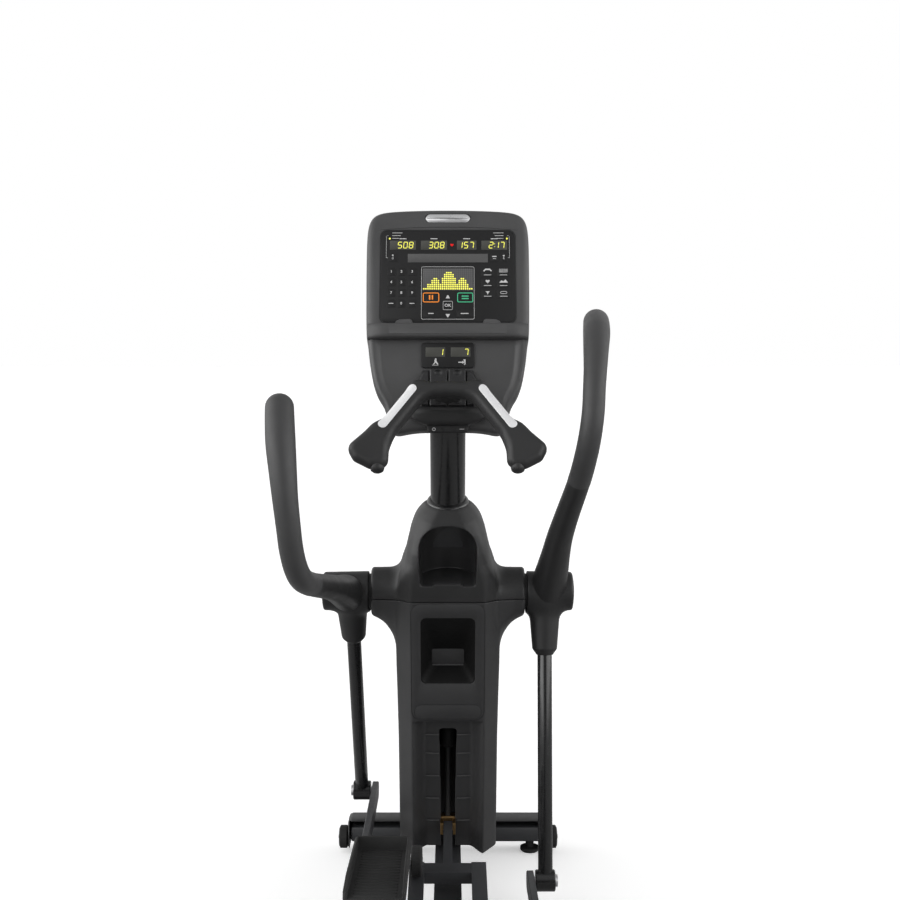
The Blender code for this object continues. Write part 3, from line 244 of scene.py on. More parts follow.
LCD = dot_grid("lcd_glass", (0.080, 0.080, 0.070), (0.060, 0.060, 0.053), 0.0021, 0.0009)
MATRIX = dot_grid("matrix_glass", (0.070, 0.070, 0.070), (0.115, 0.115, 0.115), 0.0028, 0.0010)
GRAPH = dot_grid("graph_glass", (0.075, 0.075, 0.078), (0.12, 0.12, 0.12), 0.00525, 0.0018)
LIT = glowing("segments_yellow", (0.86, 0.84, 0.12), 0.75, (0.80, 0.78, 0.10))
# The printed inks glow faintly: a painted glow, as print gives off no light.
PRINT = glowing("print_white", (0.8, 0.8, 0.8), 0.10, (0.55, 0.55, 0.55))
ORANGE = glowing("print_orange", (0.9, 0.25, 0.02), 0.35, (0.80, 0.24, 0.03))
GREEN = glowing("print_green", (0.05, 0.5, 0.25), 0.25, (0.06, 0.42, 0.22))
RED = glowing("print_red", (0.9, 0.0, 0.0), 0.35, (0.6, 0.0, 0.0))


# ---------------------------------------------------------------- mesh helpers
class Batch:
    """Collects solids as points and faces, and turns them into one object."""

    def __init__(self):
        self.points = []
        self.faces = []

    def loft(self, rings, looped=False):
        """Skins rings of equal length, with end caps or closed back on the first ring."""
        start = len(self.points)
        count = len(rings[0])
        self.points += [tuple(point) for ring in rings for point in ring]
        rows = [range(start + k * count, start + (k + 1) * count) for k in range(len(rings))]
        pairs = list(zip(rows, rows[1:] + rows[:1])) if looped else list(zip(rows, rows[1:]))
        for low, high in pairs:
            for i in range(count):
                j = (i + 1) % count
                self.faces.append((low[i], low[j], high[j], high[i]))
        if not looped:
            self.faces.append(tuple(reversed(rows[0])))
            self.faces.append(tuple(rows[-1]))
        return self

    def prism(self, outline, near, far, bevel=0.0):
        """An outline in the XZ plane from Y near to Y far, its near edge chamfered."""
        centre = Vector((sum(p[0] for p in outline), sum(p[1] for p in outline))) / len(outline)
        inner = []
        for point in outline:
            away = Vector(point) - centre
            inner.append(centre + away * max(0.0, 1 - bevel / max(away.length, 1e-6)))
        rings = [[(x, far, z) for x, z in outline], [(x, near + bevel, z) for x, z in outline]]
        rings.append([(x, near, z) for x, z in inner])
        return self.loft(rings)

    def make(self, name, finish, body="frame", nodes=(), placed=None, smooth=35.0, bevel=0.0, levels=0):
        mesh = bpy.data.meshes.new(name)
        mesh.from_pydata(self.points, [], self.faces)
        shaped = bmesh.new()
        shaped.from_mesh(mesh)
        bmesh.ops.recalc_face_normals(shaped, faces=shaped.faces)
        shaped.to_mesh(mesh)
        shaped.free()
        return piece(name, mesh, finish, body, nodes, placed, smooth, bevel, levels)


def piece(name, mesh, finish, body, nodes=(), placed=None, smooth=35.0, bevel=0.0, levels=0):
    """Makes the mesh a visible piece of one body, standing for the CAD nodes it names."""
    mesh.materials.append(finish)
    mesh.shade_smooth()
    mesh.set_sharp_from_angle(angle=math.radians(smooth))
    made = bpy.data.objects.new(name, mesh)
    bpy.context.scene.collection.objects.link(made)
    if placed is not None:
        made.matrix_world = placed
    if bevel:
        edges = made.modifiers.new("edges", "BEVEL")
        edges.width = bevel
        edges.segments = 2
        edges.limit_method = "ANGLE"
        edges.angle_limit = math.radians(38)
        edges.harden_normals = False
    if levels:
        finer = made.modifiers.new("finer", "SUBSURF")
        finer.levels = finer.render_levels = levels
    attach(made, body)
    if nodes:
        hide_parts(*([nodes] if isinstance(nodes, str) else nodes))
    return made


def rounded(low, high, radius, steps=6, inset=0.0):
    """Rounded rectangle in a plane, as (x, z), counter-clockwise."""
    low = (low[0] + inset, low[1] + inset)
    high = (high[0] - inset, high[1] - inset)
    radius = max(radius - inset, 0.0002)
    points = []
    corners = (
        (high[0] - radius, high[1] - radius, 0),
        (low[0] + radius, high[1] - radius, 90),
        (low[0] + radius, low[1] + radius, 180),
        (high[0] - radius, low[1] + radius, 270),
    )
    for x, z, start in corners:
        for k in range(steps + 1):
            t = math.radians(start + 90.0 * k / steps)
            points.append((x + radius * math.cos(t), z + radius * math.sin(t)))
    return points


def tile(batch, low, high, radius, near, far, bevel=0.0004, steps=6):
    """Rounded rectangular plate whose near face has a true chamfer."""
    rings = [[(x, far, z) for x, z in rounded(low, high, radius, steps)]]
    for share in (0.0, 0.5, 1.0):
        t = share * math.pi / 2
        inset, back = bevel * (1 - math.cos(t)), bevel * (1 - math.sin(t))
        rings.append([(x, near + back, z) for x, z in rounded(low, high, radius, steps, inset)])
    return batch.loft(rings)


def ring_tile(batch, low, high, radius, width, near, far, steps=6):
    """Rounded rectangular frame of a constant width."""
    rings = []
    for inset, y in ((0, far), (0, near), (width, near), (width, far)):
        rings.append([(x, y, z) for x, z in rounded(low, high, radius, steps, inset)])
    return batch.loft(rings, looped=True)


def circle(centre, axis, radius, sides=40):
    axis = Vector(axis).normalized()
    across = Vector((1, 0, 0)) if abs(axis.x) < 0.9 else Vector((0, 1, 0))
    across = (across - axis * across.dot(axis)).normalized()
    other = axis.cross(across)
    steps = (math.tau * k / sides for k in range(sides))
    return [Vector(centre) + radius * (math.cos(t) * across + math.sin(t) * other) for t in steps]


def turned(batch, start, end, profile, sides=40):
    """Turned solid: (distance from start in metres, radius) pairs along start to end."""
    start, end = Vector(start), Vector(end)
    along = (end - start).normalized()
    return batch.loft([circle(start + along * far, along, radius, sides) for far, radius in profile])


def barrel(length, radius, edge=0.0015, steps=3):
    """Profile of a plain cylinder with rounded ends."""
    points = []
    for k in range(steps + 1):
        t = math.pi / 2 * k / steps
        points.append((edge * (1 - math.sin(t)), radius - edge * (1 - math.cos(t))))
    points = [(far, r) for far, r in reversed(points)]
    return points + [(length - far, r) for far, r in reversed(points)]


def smooth_path(points, steps=6):
    """Catmull-Rom through rows of numbers: positions, and any radii beside them."""
    rows = np.array(points, float)
    rows = np.vstack([2 * rows[0] - rows[1], rows, 2 * rows[-1] - rows[-2]])
    out = []
    for k in range(1, len(rows) - 2):
        a, b, c, d = rows[k - 1 : k + 3]
        for i in range(steps):
            t = i / steps
            out.append(
                0.5 * (
                    2 * b + (c - a) * t + (2 * a - 5 * b + 4 * c - d) * t**2 + (3 * b - a - 3 * c + d) * t**3
                )
            )
    out.append(rows[-2])
    return out


def swept(batch, path, radii, sides=32):
    rings = []
    for k, point in enumerate(path):
        ahead = Vector(path[min(k + 1, len(path) - 1)]) - Vector(path[max(k - 1, 0)])
        ahead.normalize()
        across = (Vector((1, 0, 0)) - ahead * ahead.x).normalized()
        other = ahead.cross(across)
        steps = (math.tau * i / sides for i in range(sides))
        rings.append([Vector(point) + radii[k] * (math.cos(t) * across + math.sin(t) * other) for t in steps])
    return batch.loft(rings)


# ---------------------------------------------------------------- sculpting with distance fields
def grid(low, high, step):
    """Sparse X, Y and Z coordinates of a regular grid."""
    axes = [np.arange(a, b + step, step, dtype=np.float32) for a, b in zip(low, high)]
    return np.meshgrid(*axes, indexing="ij", sparse=True)


def blend(a, b, soft):
    """Union of two distances, with a fillet."""
    h = np.maximum(soft - np.abs(a - b), 0) / soft
    return np.minimum(a, b) - h * h * soft / 4


def trim(a, b, soft=0.0005):
    """Intersection of two distances, with a rounded edge."""
    h = np.maximum(soft - np.abs(a - b), 0) / soft
    return np.maximum(a, b) + h * h * soft / 4


def carve(a, b, soft=0.0005):
    return trim(a, -b, soft)


def block(coordinates, centre, half, round_edge=0.0):
    q = [np.abs(c - m) - (h - round_edge) for c, m, h in zip(coordinates, centre, half)]
    outside = np.sqrt(sum(np.maximum(part, 0) ** 2 for part in q))
    return outside + np.minimum(np.maximum(np.maximum(q[0], q[1]), q[2]), 0) - round_edge


def skin(
    name, distance, low, step, finish, body="frame", nodes=(), placed=None, mirrored=False, smooth=60.0,
    lining=None
):
    """Meshes the zero level of a distance field. Faces inside a lining's field become their own piece."""
    limit = 3 * step
    values = np.clip(distance, -limit, limit).astype(np.float32)
    if mirrored:
        values = np.concatenate([values[:0:-1], values])
        low = (-((values.shape[0] - 1) // 2) * step, low[1], low[2])
    volume = openvdb.FloatGrid(limit)
    volume.copyFromArray(values)
    points, quads = volume.convertToQuads(isovalue=0.0)
    points = points * step + np.array(low)
    corners = points[quads]
    turn = np.cross(corners[:, 1] - corners[:, 0], corners[:, 2] - corners[:, 0])
    if (corners[:, 0] * turn).sum() < 0:
        quads = quads[:, ::-1]
    if lining:
        field, lining_name, lining_finish, lining_nodes = lining
        centre = points[quads].mean(axis=1)
        within = field(np.abs(centre[:, 0]), centre[:, 1], centre[:, 2]) < 0.0015
        patch(lining_name, points, quads[within], lining_finish, body, lining_nodes, placed, smooth)
        quads = quads[~within]
    return patch(name, points, quads, finish, body, nodes, placed, smooth)


def patch(name, points, quads, finish, body, nodes, placed, smooth):
    """A piece from some of the quads, holding only the points they use."""
    used, index = np.unique(quads, return_inverse=True)
    mesh = bpy.data.meshes.new(name)
    mesh.from_pydata(points[used].tolist(), [], index.reshape(-1, 4).tolist())
    return piece(name, mesh, finish, body, nodes, placed, smooth)


# ---------------------------------------------------------------- tower
FACE = 0.105
BACK = 0.101
CREASE = 0.095
SHOULDER_X = 0.2
SHOULDER_R = 0.0625
SEAM = -0.0115  # height of the level parting line above the shoulder axis
TOWER_STEP = 0.002
PANEL_FOOT = -0.3215
PANEL_TOP = 0.0115
# Bell half widths against height along the tower.
BELL = (
    (0.0, 0.134), (0.06, 0.127), (0.091, 0.118), (0.113, 0.1102), (0.136, 0.1052), (0.158, 0.1004),
    (0.180, 0.0957), (0.202, 0.0889), (0.213, 0.0848), (0.224, 0.0789), (0.235, 0.071), (0.246, 0.0604),
    (0.257, 0.050), (0.262, 0.035),
)
LOWER = ((-0.80, 0.1325), (-0.40, 0.1325), (-0.26, 0.1343), (-0.19, 0.1357), (-0.10, 0.1365), (0.0, 0.134))


def along_tower(table, s):
    heights, widths = zip(*table)
    return np.interp(s, heights, widths).astype(np.float32)


def level(w, s):
    """World height above the shoulder axis."""
    return s * math.cos(TOWER_LEAN) + w * math.sin(TOWER_LEAN)


def shoulder_bar(x, w, s):
    """The cross cylinder, flaring where it meets the tower: widely below, tightly above."""
    reach = np.clip(SHOULDER_X - x, 0, 0.066)
    below = 0.168 - np.sqrt(np.maximum(0.105**2 - (np.maximum(x, 0.1360) - 0.2407) ** 2, 1e-6))
    below = below - 0.008 * np.clip((x - 0.135) / 0.03, 0, 1)
    above = 0.1015 - np.sqrt(0.038**2 - np.clip(0.153 - x, 0, 0.0379) ** 2)
    tall = np.where(s < 0, below, above)
    deep = SHOULDER_R + 0.35 * np.clip(reach - 0.025, 0, 1) ** 1.2
    scaled = np.sqrt((w / deep) ** 2 + (s / tall) ** 2)
    side = (scaled - 1) * np.minimum(deep, tall)
    bar = trim(side, x - SHOULDER_X, 0.004)
    return trim(bar, (side + x - SHOULDER_X + 0.0045) * 0.7071, 0.002)


def tower_body(x, w, s, widths, power, deep):
    """Rounded prism with a flat face to the user between two creases."""
    half = along_tower(widths, s)
    front = np.where(w < 0, deep * 1.06, BACK * deep / FACE)
    round_body = ((x / half) ** power + (np.abs(w) / front) ** power) ** (1 / power)
    side = (round_body - 1) * np.minimum(half, front) * 0.9
    side = trim(side, -(w + deep), 0.002)
    slope = 0.745 * (x - CREASE) - 0.667 * (w + deep)
    return trim(side, slope, 0.004)


def cup_cavity(x, w, s):
    """The arched opening and the round pocket behind it."""
    low, spring, top = 0.0595, 0.132, 0.2135
    lip = low + 0.006 * np.clip((0.040 - x) / 0.006, 0, 1) * np.clip((-0.082 - w) / 0.004, 0, 1)
    wide = 0.0700 + 0.06 * np.clip(s - low, 0, 0.075)
    rise = np.maximum((s - spring) / (top - spring), 0)
    arch = (((x / wide) ** 2.6 + rise**2.6) ** (1 / 2.6) - 1) * 0.0715
    opening = trim(arch, lip - s, 0.010)
    depth = np.maximum(w + 0.052, 0)
    curved = np.sqrt((x / 0.0745) ** 2 + (depth / 0.066) ** 2) * 0.068 - 0.068
    return trim(opening, curved, 0.003)


def upper_shell():
    low, high = (0.0, -0.112, -0.046), (0.206, 0.108, 0.272)
    x, w, s = grid(low, high, TOWER_STEP)
    deep = np.interp(
        s, (0.0, 0.09, 0.14, 0.19, 0.22, 0.245, 0.262), (FACE, FACE, 0.103, 0.094, 0.082, 0.064, 0.048)
    ).astype(np.float32)
    power = np.interp(s, (0.0, 0.10, 0.2, 0.25), (5.0, 4.2, 2.8, 2.1)).astype(np.float32)
    body = tower_body(x, w, s, BELL, power, deep)
    shell = blend(body, shoulder_bar(x, w, s), 0.008)
    shell = trim(shell, SEAM + 0.0006 - level(w, s), 0.001)
    # The crown is cut square to the upright tube.
    tilt = UPRIGHT_LEAN - TOWER_LEAN
    shell = trim(shell, (s - 0.247) * math.cos(tilt) + w * math.sin(tilt), 0.004)
    shell = carve(shell, cup_cavity(x, w, s), 0.003)
    nodes = ("upper_shroud_rear", "upper_shroud_front")
    cup = (cup_cavity, "bottle_cup_lining", CUP, "bottle_cup")
    # The upper shell takes the darker copy of the shell plastic: painted shade.
    return skin(
        "tower_upper_shell", shell, low, TOWER_STEP, SHELL_PAINTED_SHADE, nodes=nodes, placed=TOWER, mirrored=True,
        lining=cup
    )


def lower_shell():
    low, high = (0.0, -0.112, -0.742), (0.206, 0.108, 0.022)
    x, w, s = grid(low, high, TOWER_STEP)
    body = tower_body(x, w, s, LOWER, 6.0, np.float32(FACE))
    # Below the panel the face dips into a channel around the lift slot.
    under = np.clip((PANEL_FOOT - 0.006 - s) / 0.004, 0, 1)
    dip = 0.5 - 0.5 * np.cos(math.pi * np.clip((CREASE + 0.003 - x) / 0.042, 0, 1))
    channel = -(w + FACE) - 0.004 + 0.037 * dip * under
    shell = blend(body, shoulder_bar(x, w, s), 0.008)
    outer = np.maximum(shell, np.where(under > 0, channel + 0.004, shell))
    outer = trim(outer, level(w, s) - SEAM + 0.0006, 0.001)
    tray = tray_cavity(x, w, s)
    hollow = np.maximum(outer + 0.004, -(tray - 0.004))
    hollow = np.maximum(hollow, s + 0.045)
    shell = np.maximum(carve(outer, tray, 0.002), -hollow)
    slot_half = np.interp(s, (-0.60, -0.40), (0.0185, 0.0222)).astype(np.float32)
    slot = trim(x - slot_half, s + 0.370, 0.008)
    slot = np.maximum(slot, w + 0.03)
    shell = carve(shell, slot, 0.0015)
    shell = np.maximum(shell, -0.735 - s)
    nodes = ("lower_cover_rear", "lower_cover_front")
    # The tray's lining is near-black: painted shade in its recess.
    lining = (tray_cavity, "accessory_tray_lining", BLACK_PAINTED_SHADE, "accessory_tray")
    return skin(
        "tower_lower_shell", shell, low, TOWER_STEP, SHELL, nodes=nodes, placed=TOWER, mirrored=True,
        lining=lining
    )


def tray_cavity(x, w, s):
    """Funnel-shaped pocket: its walls close in on a small shelf at the back."""
    depth = np.clip((w + FACE) / 0.05, -0.2, 1)
    half = 0.070 - 0.026 * depth
    top, foot = -0.0285 - 0.110 * depth, -0.2145 + 0.028 * depth
    middle, rise = (top + foot) / 2, (top - foot) / 2
    mouth = trim(x - half, np.abs(s - middle) - rise, 0.022)
    return trim(mouth, w + FACE - 0.050, 0.004) * 0.9


def channel_depth(x):
    share = min(max((CREASE + 0.003 - abs(x)) / 0.042, 0), 1)
    return 0.037 * (0.5 - 0.5 * math.cos(math.pi * share)) - 0.003


def tower_details():
    ticks = Batch()
    for height in (-0.3865, -0.4430, -0.5125, -0.582, -0.652):
        for side in (-1, 1):
            path = []
            for k in range(9):
                x = 0.0235 + (0.0615 - 0.0235) * k / 8
                path.append((side * x, -FACE + max(channel_depth(x), 0), height + 0.0016 * (k / 8) ** 2))
            radii = [0.0019] * 7 + [0.0016, 0.0008]
            swept_flat(ticks, path, radii)
    # The ticks take the lighter console plastic: a painted highlight along the ridges.
    ticks.make("tower_ticks", HOUSING, nodes=(), placed=TOWER, smooth=50)
    plate, line = Batch(), Batch()
    low, high = (-0.0862, PANEL_FOOT + 0.0045), (0.0862, PANEL_FOOT + 0.0445)
    tile(plate, low, high, 0.0165, -FACE - 0.0029, -FACE, 0.0007, 10)
    plate.make("panel_plate", SHELL, placed=TOWER)
    ring_tile(
        line, (low[0] - 0.0015, low[1] - 0.0015), (high[0] + 0.0015, high[1] + 0.0015), 0.0180, 0.0022,
        -FACE - 0.0026, -FACE, 10
    )
    line.make("panel_plate_line", DARK, placed=TOWER)
    back = Batch()
    tile(back, (-0.0425, -0.1850), (0.0425, -0.1395), 0.003, -FACE + 0.0475, -FACE + 0.051, 0.0006)
    back.make("tray_back", SHELL, placed=TOWER)
    # The lip takes the lighter console plastic: a painted highlight along its edge.
    lip = turned(
        Batch(), (-0.0415, -FACE + 0.0465, -0.1850), (0.0415, -FACE + 0.0465, -0.1850),
        barrel(0.083, 0.0020, 0.001), 14
    )
    lip.make("tray_lip", HOUSING, placed=TOWER)
    collar = Batch()
    foot = Vector((0, 0.572 - (1.0798 - 1.05) * math.tan(UPRIGHT_LEAN), 1.0798))
    lean = Vector((0, -math.sin(UPRIGHT_LEAN), math.cos(UPRIGHT_LEAN)))
    profile = (
        (0, 0.0455), (0.0, 0.0515), (0.001, 0.0535), (0.004, 0.0536), (0.0065, 0.0525), (0.009, 0.0495),
        (0.0105, 0.0465), (0.0105, 0.0447), (0, 0.0447)
    )
    rings = [circle(foot + lean * (far - 0.003), lean, radius, 56) for far, radius in profile]
    collar.loft(rings, looped=True)
    collar.make("collar_ring", TUBE, nodes="collar", smooth=50)


def swept_flat(batch, path, radii, sides=8):
    rings = []
    for point, radius in zip(path, radii):
        rings.append([
            (point[0], point[1] - radius * math.cos(t), point[2] + radius * math.sin(t))
            for t in (math.tau * k / sides for k in range(sides))
        ])
    return batch.loft(rings)


def panel_frame():
    """The flat centre panel, with the tray's mouth left open."""
    near, far = -FACE - 0.0022, -FACE + 0.0025
    outer = ((-0.0938, PANEL_FOOT), (0.0938, PANEL_TOP))
    mouth = ((-0.0703, -0.2152), (0.0703, -0.0278))
    rings = []
    for low, high, radius, inset, y in (
        (*outer, 0.026, 0, far), (*outer, 0.026, 0, near + 0.0018), (*outer, 0.026, 0.0006, near + 0.0006),
        (*outer, 0.026, 0.0020, near),
        (*mouth, 0.013, -0.0014, near), (*mouth, 0.013, -0.0004, near + 0.0006),
        (*mouth, 0.013, 0, near + 0.0022), (*mouth, 0.013, 0, far),
    ):
        rings.append([(x, y, z) for x, z in rounded(low, high, radius, 10, inset)])
    Batch().loft(rings, looped=True).make("centre_panel_face", SHELL, nodes="centre_panel", placed=TOWER)
    # A dark joint shows all round it.
    joint = ring_tile(
        Batch(), (-0.0957, PANEL_FOOT - 0.0020), (0.0957, PANEL_TOP), 0.0279, 0.0028, -FACE - 0.0013, far, 10
    )
    joint.make("panel_joint", DARK, placed=TOWER)


def upright():
    foot = Vector((0, 0.572 - (1.056 - 1.05) * math.tan(UPRIGHT_LEAN), 1.056))
    head = Vector((0, 0.572 - (1.285 - 1.05) * math.tan(UPRIGHT_LEAN), 1.285))
    tube = turned(Batch(), foot, head, barrel((head - foot).length, 0.0443), 64)
    tube.make("upright_post", TUBE, nodes="upright_tube", smooth=50)


# ---------------------------------------------------------------- arms
HUB_IN, HUB_OUT, HUB_R = 0.2065, 0.329, 0.0525
ARM_TUBE_X = 0.2535
# Arm and grip in the left arm's rest pose: distance to the user, height and X out from the
# shoulder axis, then the radius.
HANDLE = (
    (0.000, -0.010, 0.2605, 0.0460), (0.050, 0.006, 0.2640, 0.0450), (0.100, 0.019, 0.2690, 0.0410),
    (0.160, 0.033, 0.2740, 0.0360),
    (0.220, 0.048, 0.2800, 0.0325), (0.300, 0.066, 0.2920, 0.0295), (0.420, 0.093, 0.3125, 0.0272),
    (0.500, 0.118, 0.3235, 0.0266),
    (0.545, 0.150, 0.3310, 0.0262), (0.571, 0.195, 0.3375, 0.0260), (0.584, 0.250, 0.3420, 0.0262),
    (0.585, 0.310, 0.3480, 0.0275),
    (0.575, 0.370, 0.3540, 0.0300), (0.556, 0.425, 0.3605, 0.0322), (0.529, 0.470, 0.3655, 0.0320),
    (0.505, 0.500, 0.3690, 0.0314),
)
CROWN_STEPS = 8


def arm_matrix(side):
    """From the left arm's rest pose, with X measured outwards, to this side's rest pose."""
    if side == "left":
        return Matrix.Translation(SHOULDER) @ Matrix.Diagonal((-1, 1, 1, 1))
    return RIGHT_TURN @ Matrix.Translation(SHOULDER)


def hub_distance(low, high, step):
    x, y, z = grid(low, high, step)
    radial = np.sqrt(y**2 + z**2)
    cylinder = radial - (HUB_R - 0.012 * np.clip((x - HUB_IN) / 0.6, 0, 1))
    cylinder = trim(cylinder, HUB_IN - x, 0.003)
    dome = HUB_OUT - 0.0045 + 0.006 * (1 - (radial / HUB_R) ** 2)
    cylinder = trim(cylinder, x - dome, 0.006)
    down = FEET["left"] - SHOULDER
    down.normalize()
    along = y * down.y + z * down.z
    off = np.sqrt((x - ARM_TUBE_X) ** 2 + (y * down.z - z * down.y) ** 2)
    radius = np.interp(along, (0.04, 0.075, 0.15, 0.166), (0.0425, 0.0385, 0.0325, 0.0215)).astype(np.float32)
    socket = (off - radius) * 0.97
    socket = trim(socket, along - 0.166, 0.001)
    socket = trim(socket, -along, 0.004)
    solid = blend(cylinder, socket, 0.026)
    bore = np.maximum(off - 0.0192, 0.10 - along)
    return carve(solid, bore, 0.001)


def arms():
    low, high, step = (0.200, -0.060, -0.176), (0.338, 0.098, 0.060), 0.0016
    solid = hub_distance(low, high, step)
    for side, sign in SIGN.items():
        place = arm_matrix(side)
        skin(f"hub_{side}", solid, low, step, ARM, f"arm_{side}", f"arm_hub_{side}", place)
        # The handle follows its rows, and closes in a rounded crown at the tip.
        rows = smooth_path([(x, -ahead, up, radius) for ahead, up, x, radius in HANDLE], 5)
        last = rows[-1]
        ahead = Vector(rows[-1][:3] - rows[-2][:3]).normalized()
        for k in range(1, CROWN_STEPS + 1):
            t = math.pi / 2 * k / CROWN_STEPS
            tip = Vector(last[:3]) + ahead * last[3] * math.sin(t)
            rows.append(np.array((*tip, max(last[3] * math.cos(t), 0.0008))))
        split = next(k for k, row in enumerate(rows) if -row[1] > 0.405)
        for name, part, finish, swell in (
            ("root", rows[: split + 1], ARM, 0), ("grip", rows[split:], SOFT, 0.0006)
        ):
            grip = swept(
                Batch(), [place @ Vector(row[:3]) for row in part], [float(row[3]) + swell for row in part],
                40
            )
            grip.make(f"arm_{name}_{side}", finish, f"arm_{side}", f"handle_{side}", smooth=60)
        foot, turn = FEET[side], (FEET[side] - SHOULDER).normalized()
        top = SHOULDER + turn * 0.12
        top.x = sign * ARM_TUBE_X
        low_end = Vector((sign * ARM_TUBE_X, foot.y, foot.z)) - turn * 0.015
        tube = turned(Batch(), top, low_end, barrel((low_end - top).length, 0.019, 0.0005), 40)
        eye = [(0, 0.0), (0, 0.0255), (0.002, 0.0275), (0.049, 0.0275), (0.051, 0.0255), (0.051, 0.0)]
        start = Vector((sign * 0.2275, foot.y, foot.z))
        turned(tube, start, start + Vector((sign, 0, 0)), [(far, max(r, 0.0001)) for far, r in eye], 44)
        tube.make(f"arm_tube_{side}", TUBE, f"arm_{side}", f"lower_arm_{side}", smooth=40)
    gaiter = Batch()
    for sign in (-1, 1):
        start = Vector((sign * (SHOULDER_X - 0.004), SHOULDER.y, SHOULDER.z))
        turned(gaiter, start, start + Vector((sign, 0, 0)), ((0, 0.046), (0.0112, 0.046)), 48)
    gaiter.make("shoulder_seals", DARK, smooth=40)


# ---------------------------------------------------------------- console
def console_outline(inset):
    """Front outline as (u, v), the whole loop, shrunk towards the middle."""
    half = (
        (0.030, 0.0130), (0.070, 0.0118), (0.100, 0.0080), (0.118, 0.0045), (0.130, 0.0065), (0.139, 0.020),
        (0.1475, 0.043), (0.157, 0.0734),
        (0.1716, 0.099), (0.1815, 0.125), (0.1875, 0.150), (0.1920, 0.176), (0.1955, 0.202), (0.1985, 0.228),
        (0.2025, 0.254), (0.2045, 0.30), (0.206, 0.403), (0.2063, 0.475), (0.2058, 0.5115), (0.2035, 0.5425),
        (0.1985, 0.5645),
        (0.1895, 0.580), (0.174, 0.5898), (0.150, 0.5953), (0.11, 0.5988), (0.06, 0.6008), (0.02, 0.6015),
    )
    rows = smooth_path(half, 3)
    middle = Vector((0.0, 0.3))
    points = []
    for x, z in rows:
        away = Vector((x, z)) - middle
        points.append(middle + away * (1 - inset / away.length))
    return [(p.x, p.y) for p in points] + [(-p.x, p.y) for p in reversed(points)]


def face_depth(v, inset):
    """Depth of the console's front face behind its datum plane."""
    dish = 0.0
    if v < 0.262:
        dish = 0.009 * min(max((inset - 0.010) / 0.022, 0), 1) ** 1.3 * min((0.262 - v) / 0.012, 1)
        dish *= min(max((v - 0.02) / 0.07, 0), 1)
    crown = 0.0
    if v > 0.53:
        crown = 0.010 * ((v - 0.53) / 0.062) ** 1.8
    return dish + crown


def console_body():
    shell = Batch()
    rings = []
    for inset, depth in (
        (0.070, 0.080), (0.034, 0.082), (0.020, 0.078), (0.012, 0.070), (0.005, 0.058), (0.0015, 0.046),
        (0, 0.036), (0, 0.0345)
    ):
        rings.append([CONSOLE @ Vector((u, depth, v)) for u, v in console_outline(inset)])
    shell.loft(rings)
    shell.make("console_rear_half", HOUSING, nodes="console_back", smooth=40)
    front = Batch()
    rings = []
    for inset, depth in (
        (0, 0.0335), (0, 0.022), (0.0008, 0.0150), (0.003, 0.0093), (0.0065, 0.0053), (0.0110, 0.0026),
        (0.0165, 0.0010), (0.0220, 0.0002)
    ):
        rings.append(
            [CONSOLE @ Vector((u, depth + face_depth(v, inset), v)) for u, v in console_outline(inset)]
        )
    for inset in (0.025, 0.028, 0.031, 0.034, 0.038):
        rings.append([CONSOLE @ Vector((u, face_depth(v, inset), v)) for u, v in console_outline(inset)])
    front.loft(rings)
    # The middle is closed with level rungs from side to side.
    front.faces.pop()
    last = len(front.points) - 1
    first = last + 1 - len(rings[-1])
    for k in range(len(rings[-1]) // 2 - 1):
        front.faces.append((first + k, first + k + 1, last - k - 1, last - k))
    front.make("console_front_half", HOUSING, nodes="console_front", smooth=40)


def console_rear():
    """Removable back plate with vent slots and screws."""
    near, far = 0.0800, 0.0845
    plate, vents, screws = Batch(), Batch(), Batch()
    tile(plate, (-0.112, 0.150), (0.112, 0.455), 0.022, near, far, 0.0015, 8)
    plate.make("console_back_plate", ARM, placed=CONSOLE, smooth=40)
    for k in range(9):
        low = 0.330 + 0.0115 * k
        tile(vents, (-0.075, low), (0.075, low + 0.0045), 0.002, near, far + 0.0006, 0.0002, 3)
    # The vent slots are near-black tiles: painted shade in the open slots.
    vents.make("console_vents", BLACK_PAINTED_SHADE, placed=CONSOLE)
    for u in (-0.098, 0.098):
        for v in (0.166, 0.439):
            turned(
                screws, (u, near, v), (u, far + 0.0012, v), ((0, 0.0042), (0.0050, 0.0042), (0.0057, 0.0030)),
                20
            )
    screws.make("console_screws", STEEL, placed=CONSOLE)


def reading_ledge():
    """Shelf under the display, with a lip, end cheeks and two stand-off tabs."""
    profile = ((0.012, 0.2835), (-0.004, 0.2840), (-0.0115, 0.2825), (-0.0155, 0.2785), (-0.0170, 0.2730),
               (-0.0172, 0.2560), (-0.0160, 0.2490), (-0.0125, 0.2455), (-0.006, 0.2440), (0.012, 0.2435))
    stations = []
    for k in range(33):
        u = -0.2000 + 0.400 * k / 32
        fade = min((0.2000 - abs(u)) / 0.040, 1.0)
        stations.append((u, 0.25 + 0.75 * math.sin(fade * math.pi / 2)))
    rings = []
    for u, reach in stations:
        rings.append([(u, max(d * reach, -0.0178) if d < 0 else d, v) for d, v in profile])
    Batch().loft(rings).make("reading_ledge", HOUSING, placed=CONSOLE, smooth=40)
    tabs = Batch()
    for side in (-1, 1):
        outline = [(side * 0.086, 0.2825), (side * 0.133, 0.2825), (side * 0.129, 0.2895),
            (side * 0.120, 0.2940),
                   (side * 0.096, 0.2950), (side * 0.090, 0.2925)]
        tabs.prism(outline, -0.0060, 0.0, 0.0012)
    tabs.make("ledge_tabs", HOUSING, placed=CONSOLE, smooth=40)
    strip = Batch()
    tile(strip, (-0.1455, 0.2520), (0.1455, 0.2775), 0.0015, -0.0177, -0.0165, 0.0003)
    strip.make("ledge_strip", HOUSING, placed=CONSOLE)


SEGMENTS = {
    "0": "abcdef", "1": "bc", "2": "abged", "3": "abgcd", "4": "fgbc", "5": "afgcd", "6": "afgedc",
    "7": "abc", "8": "abcdefg", "9": "abcfgd",
}


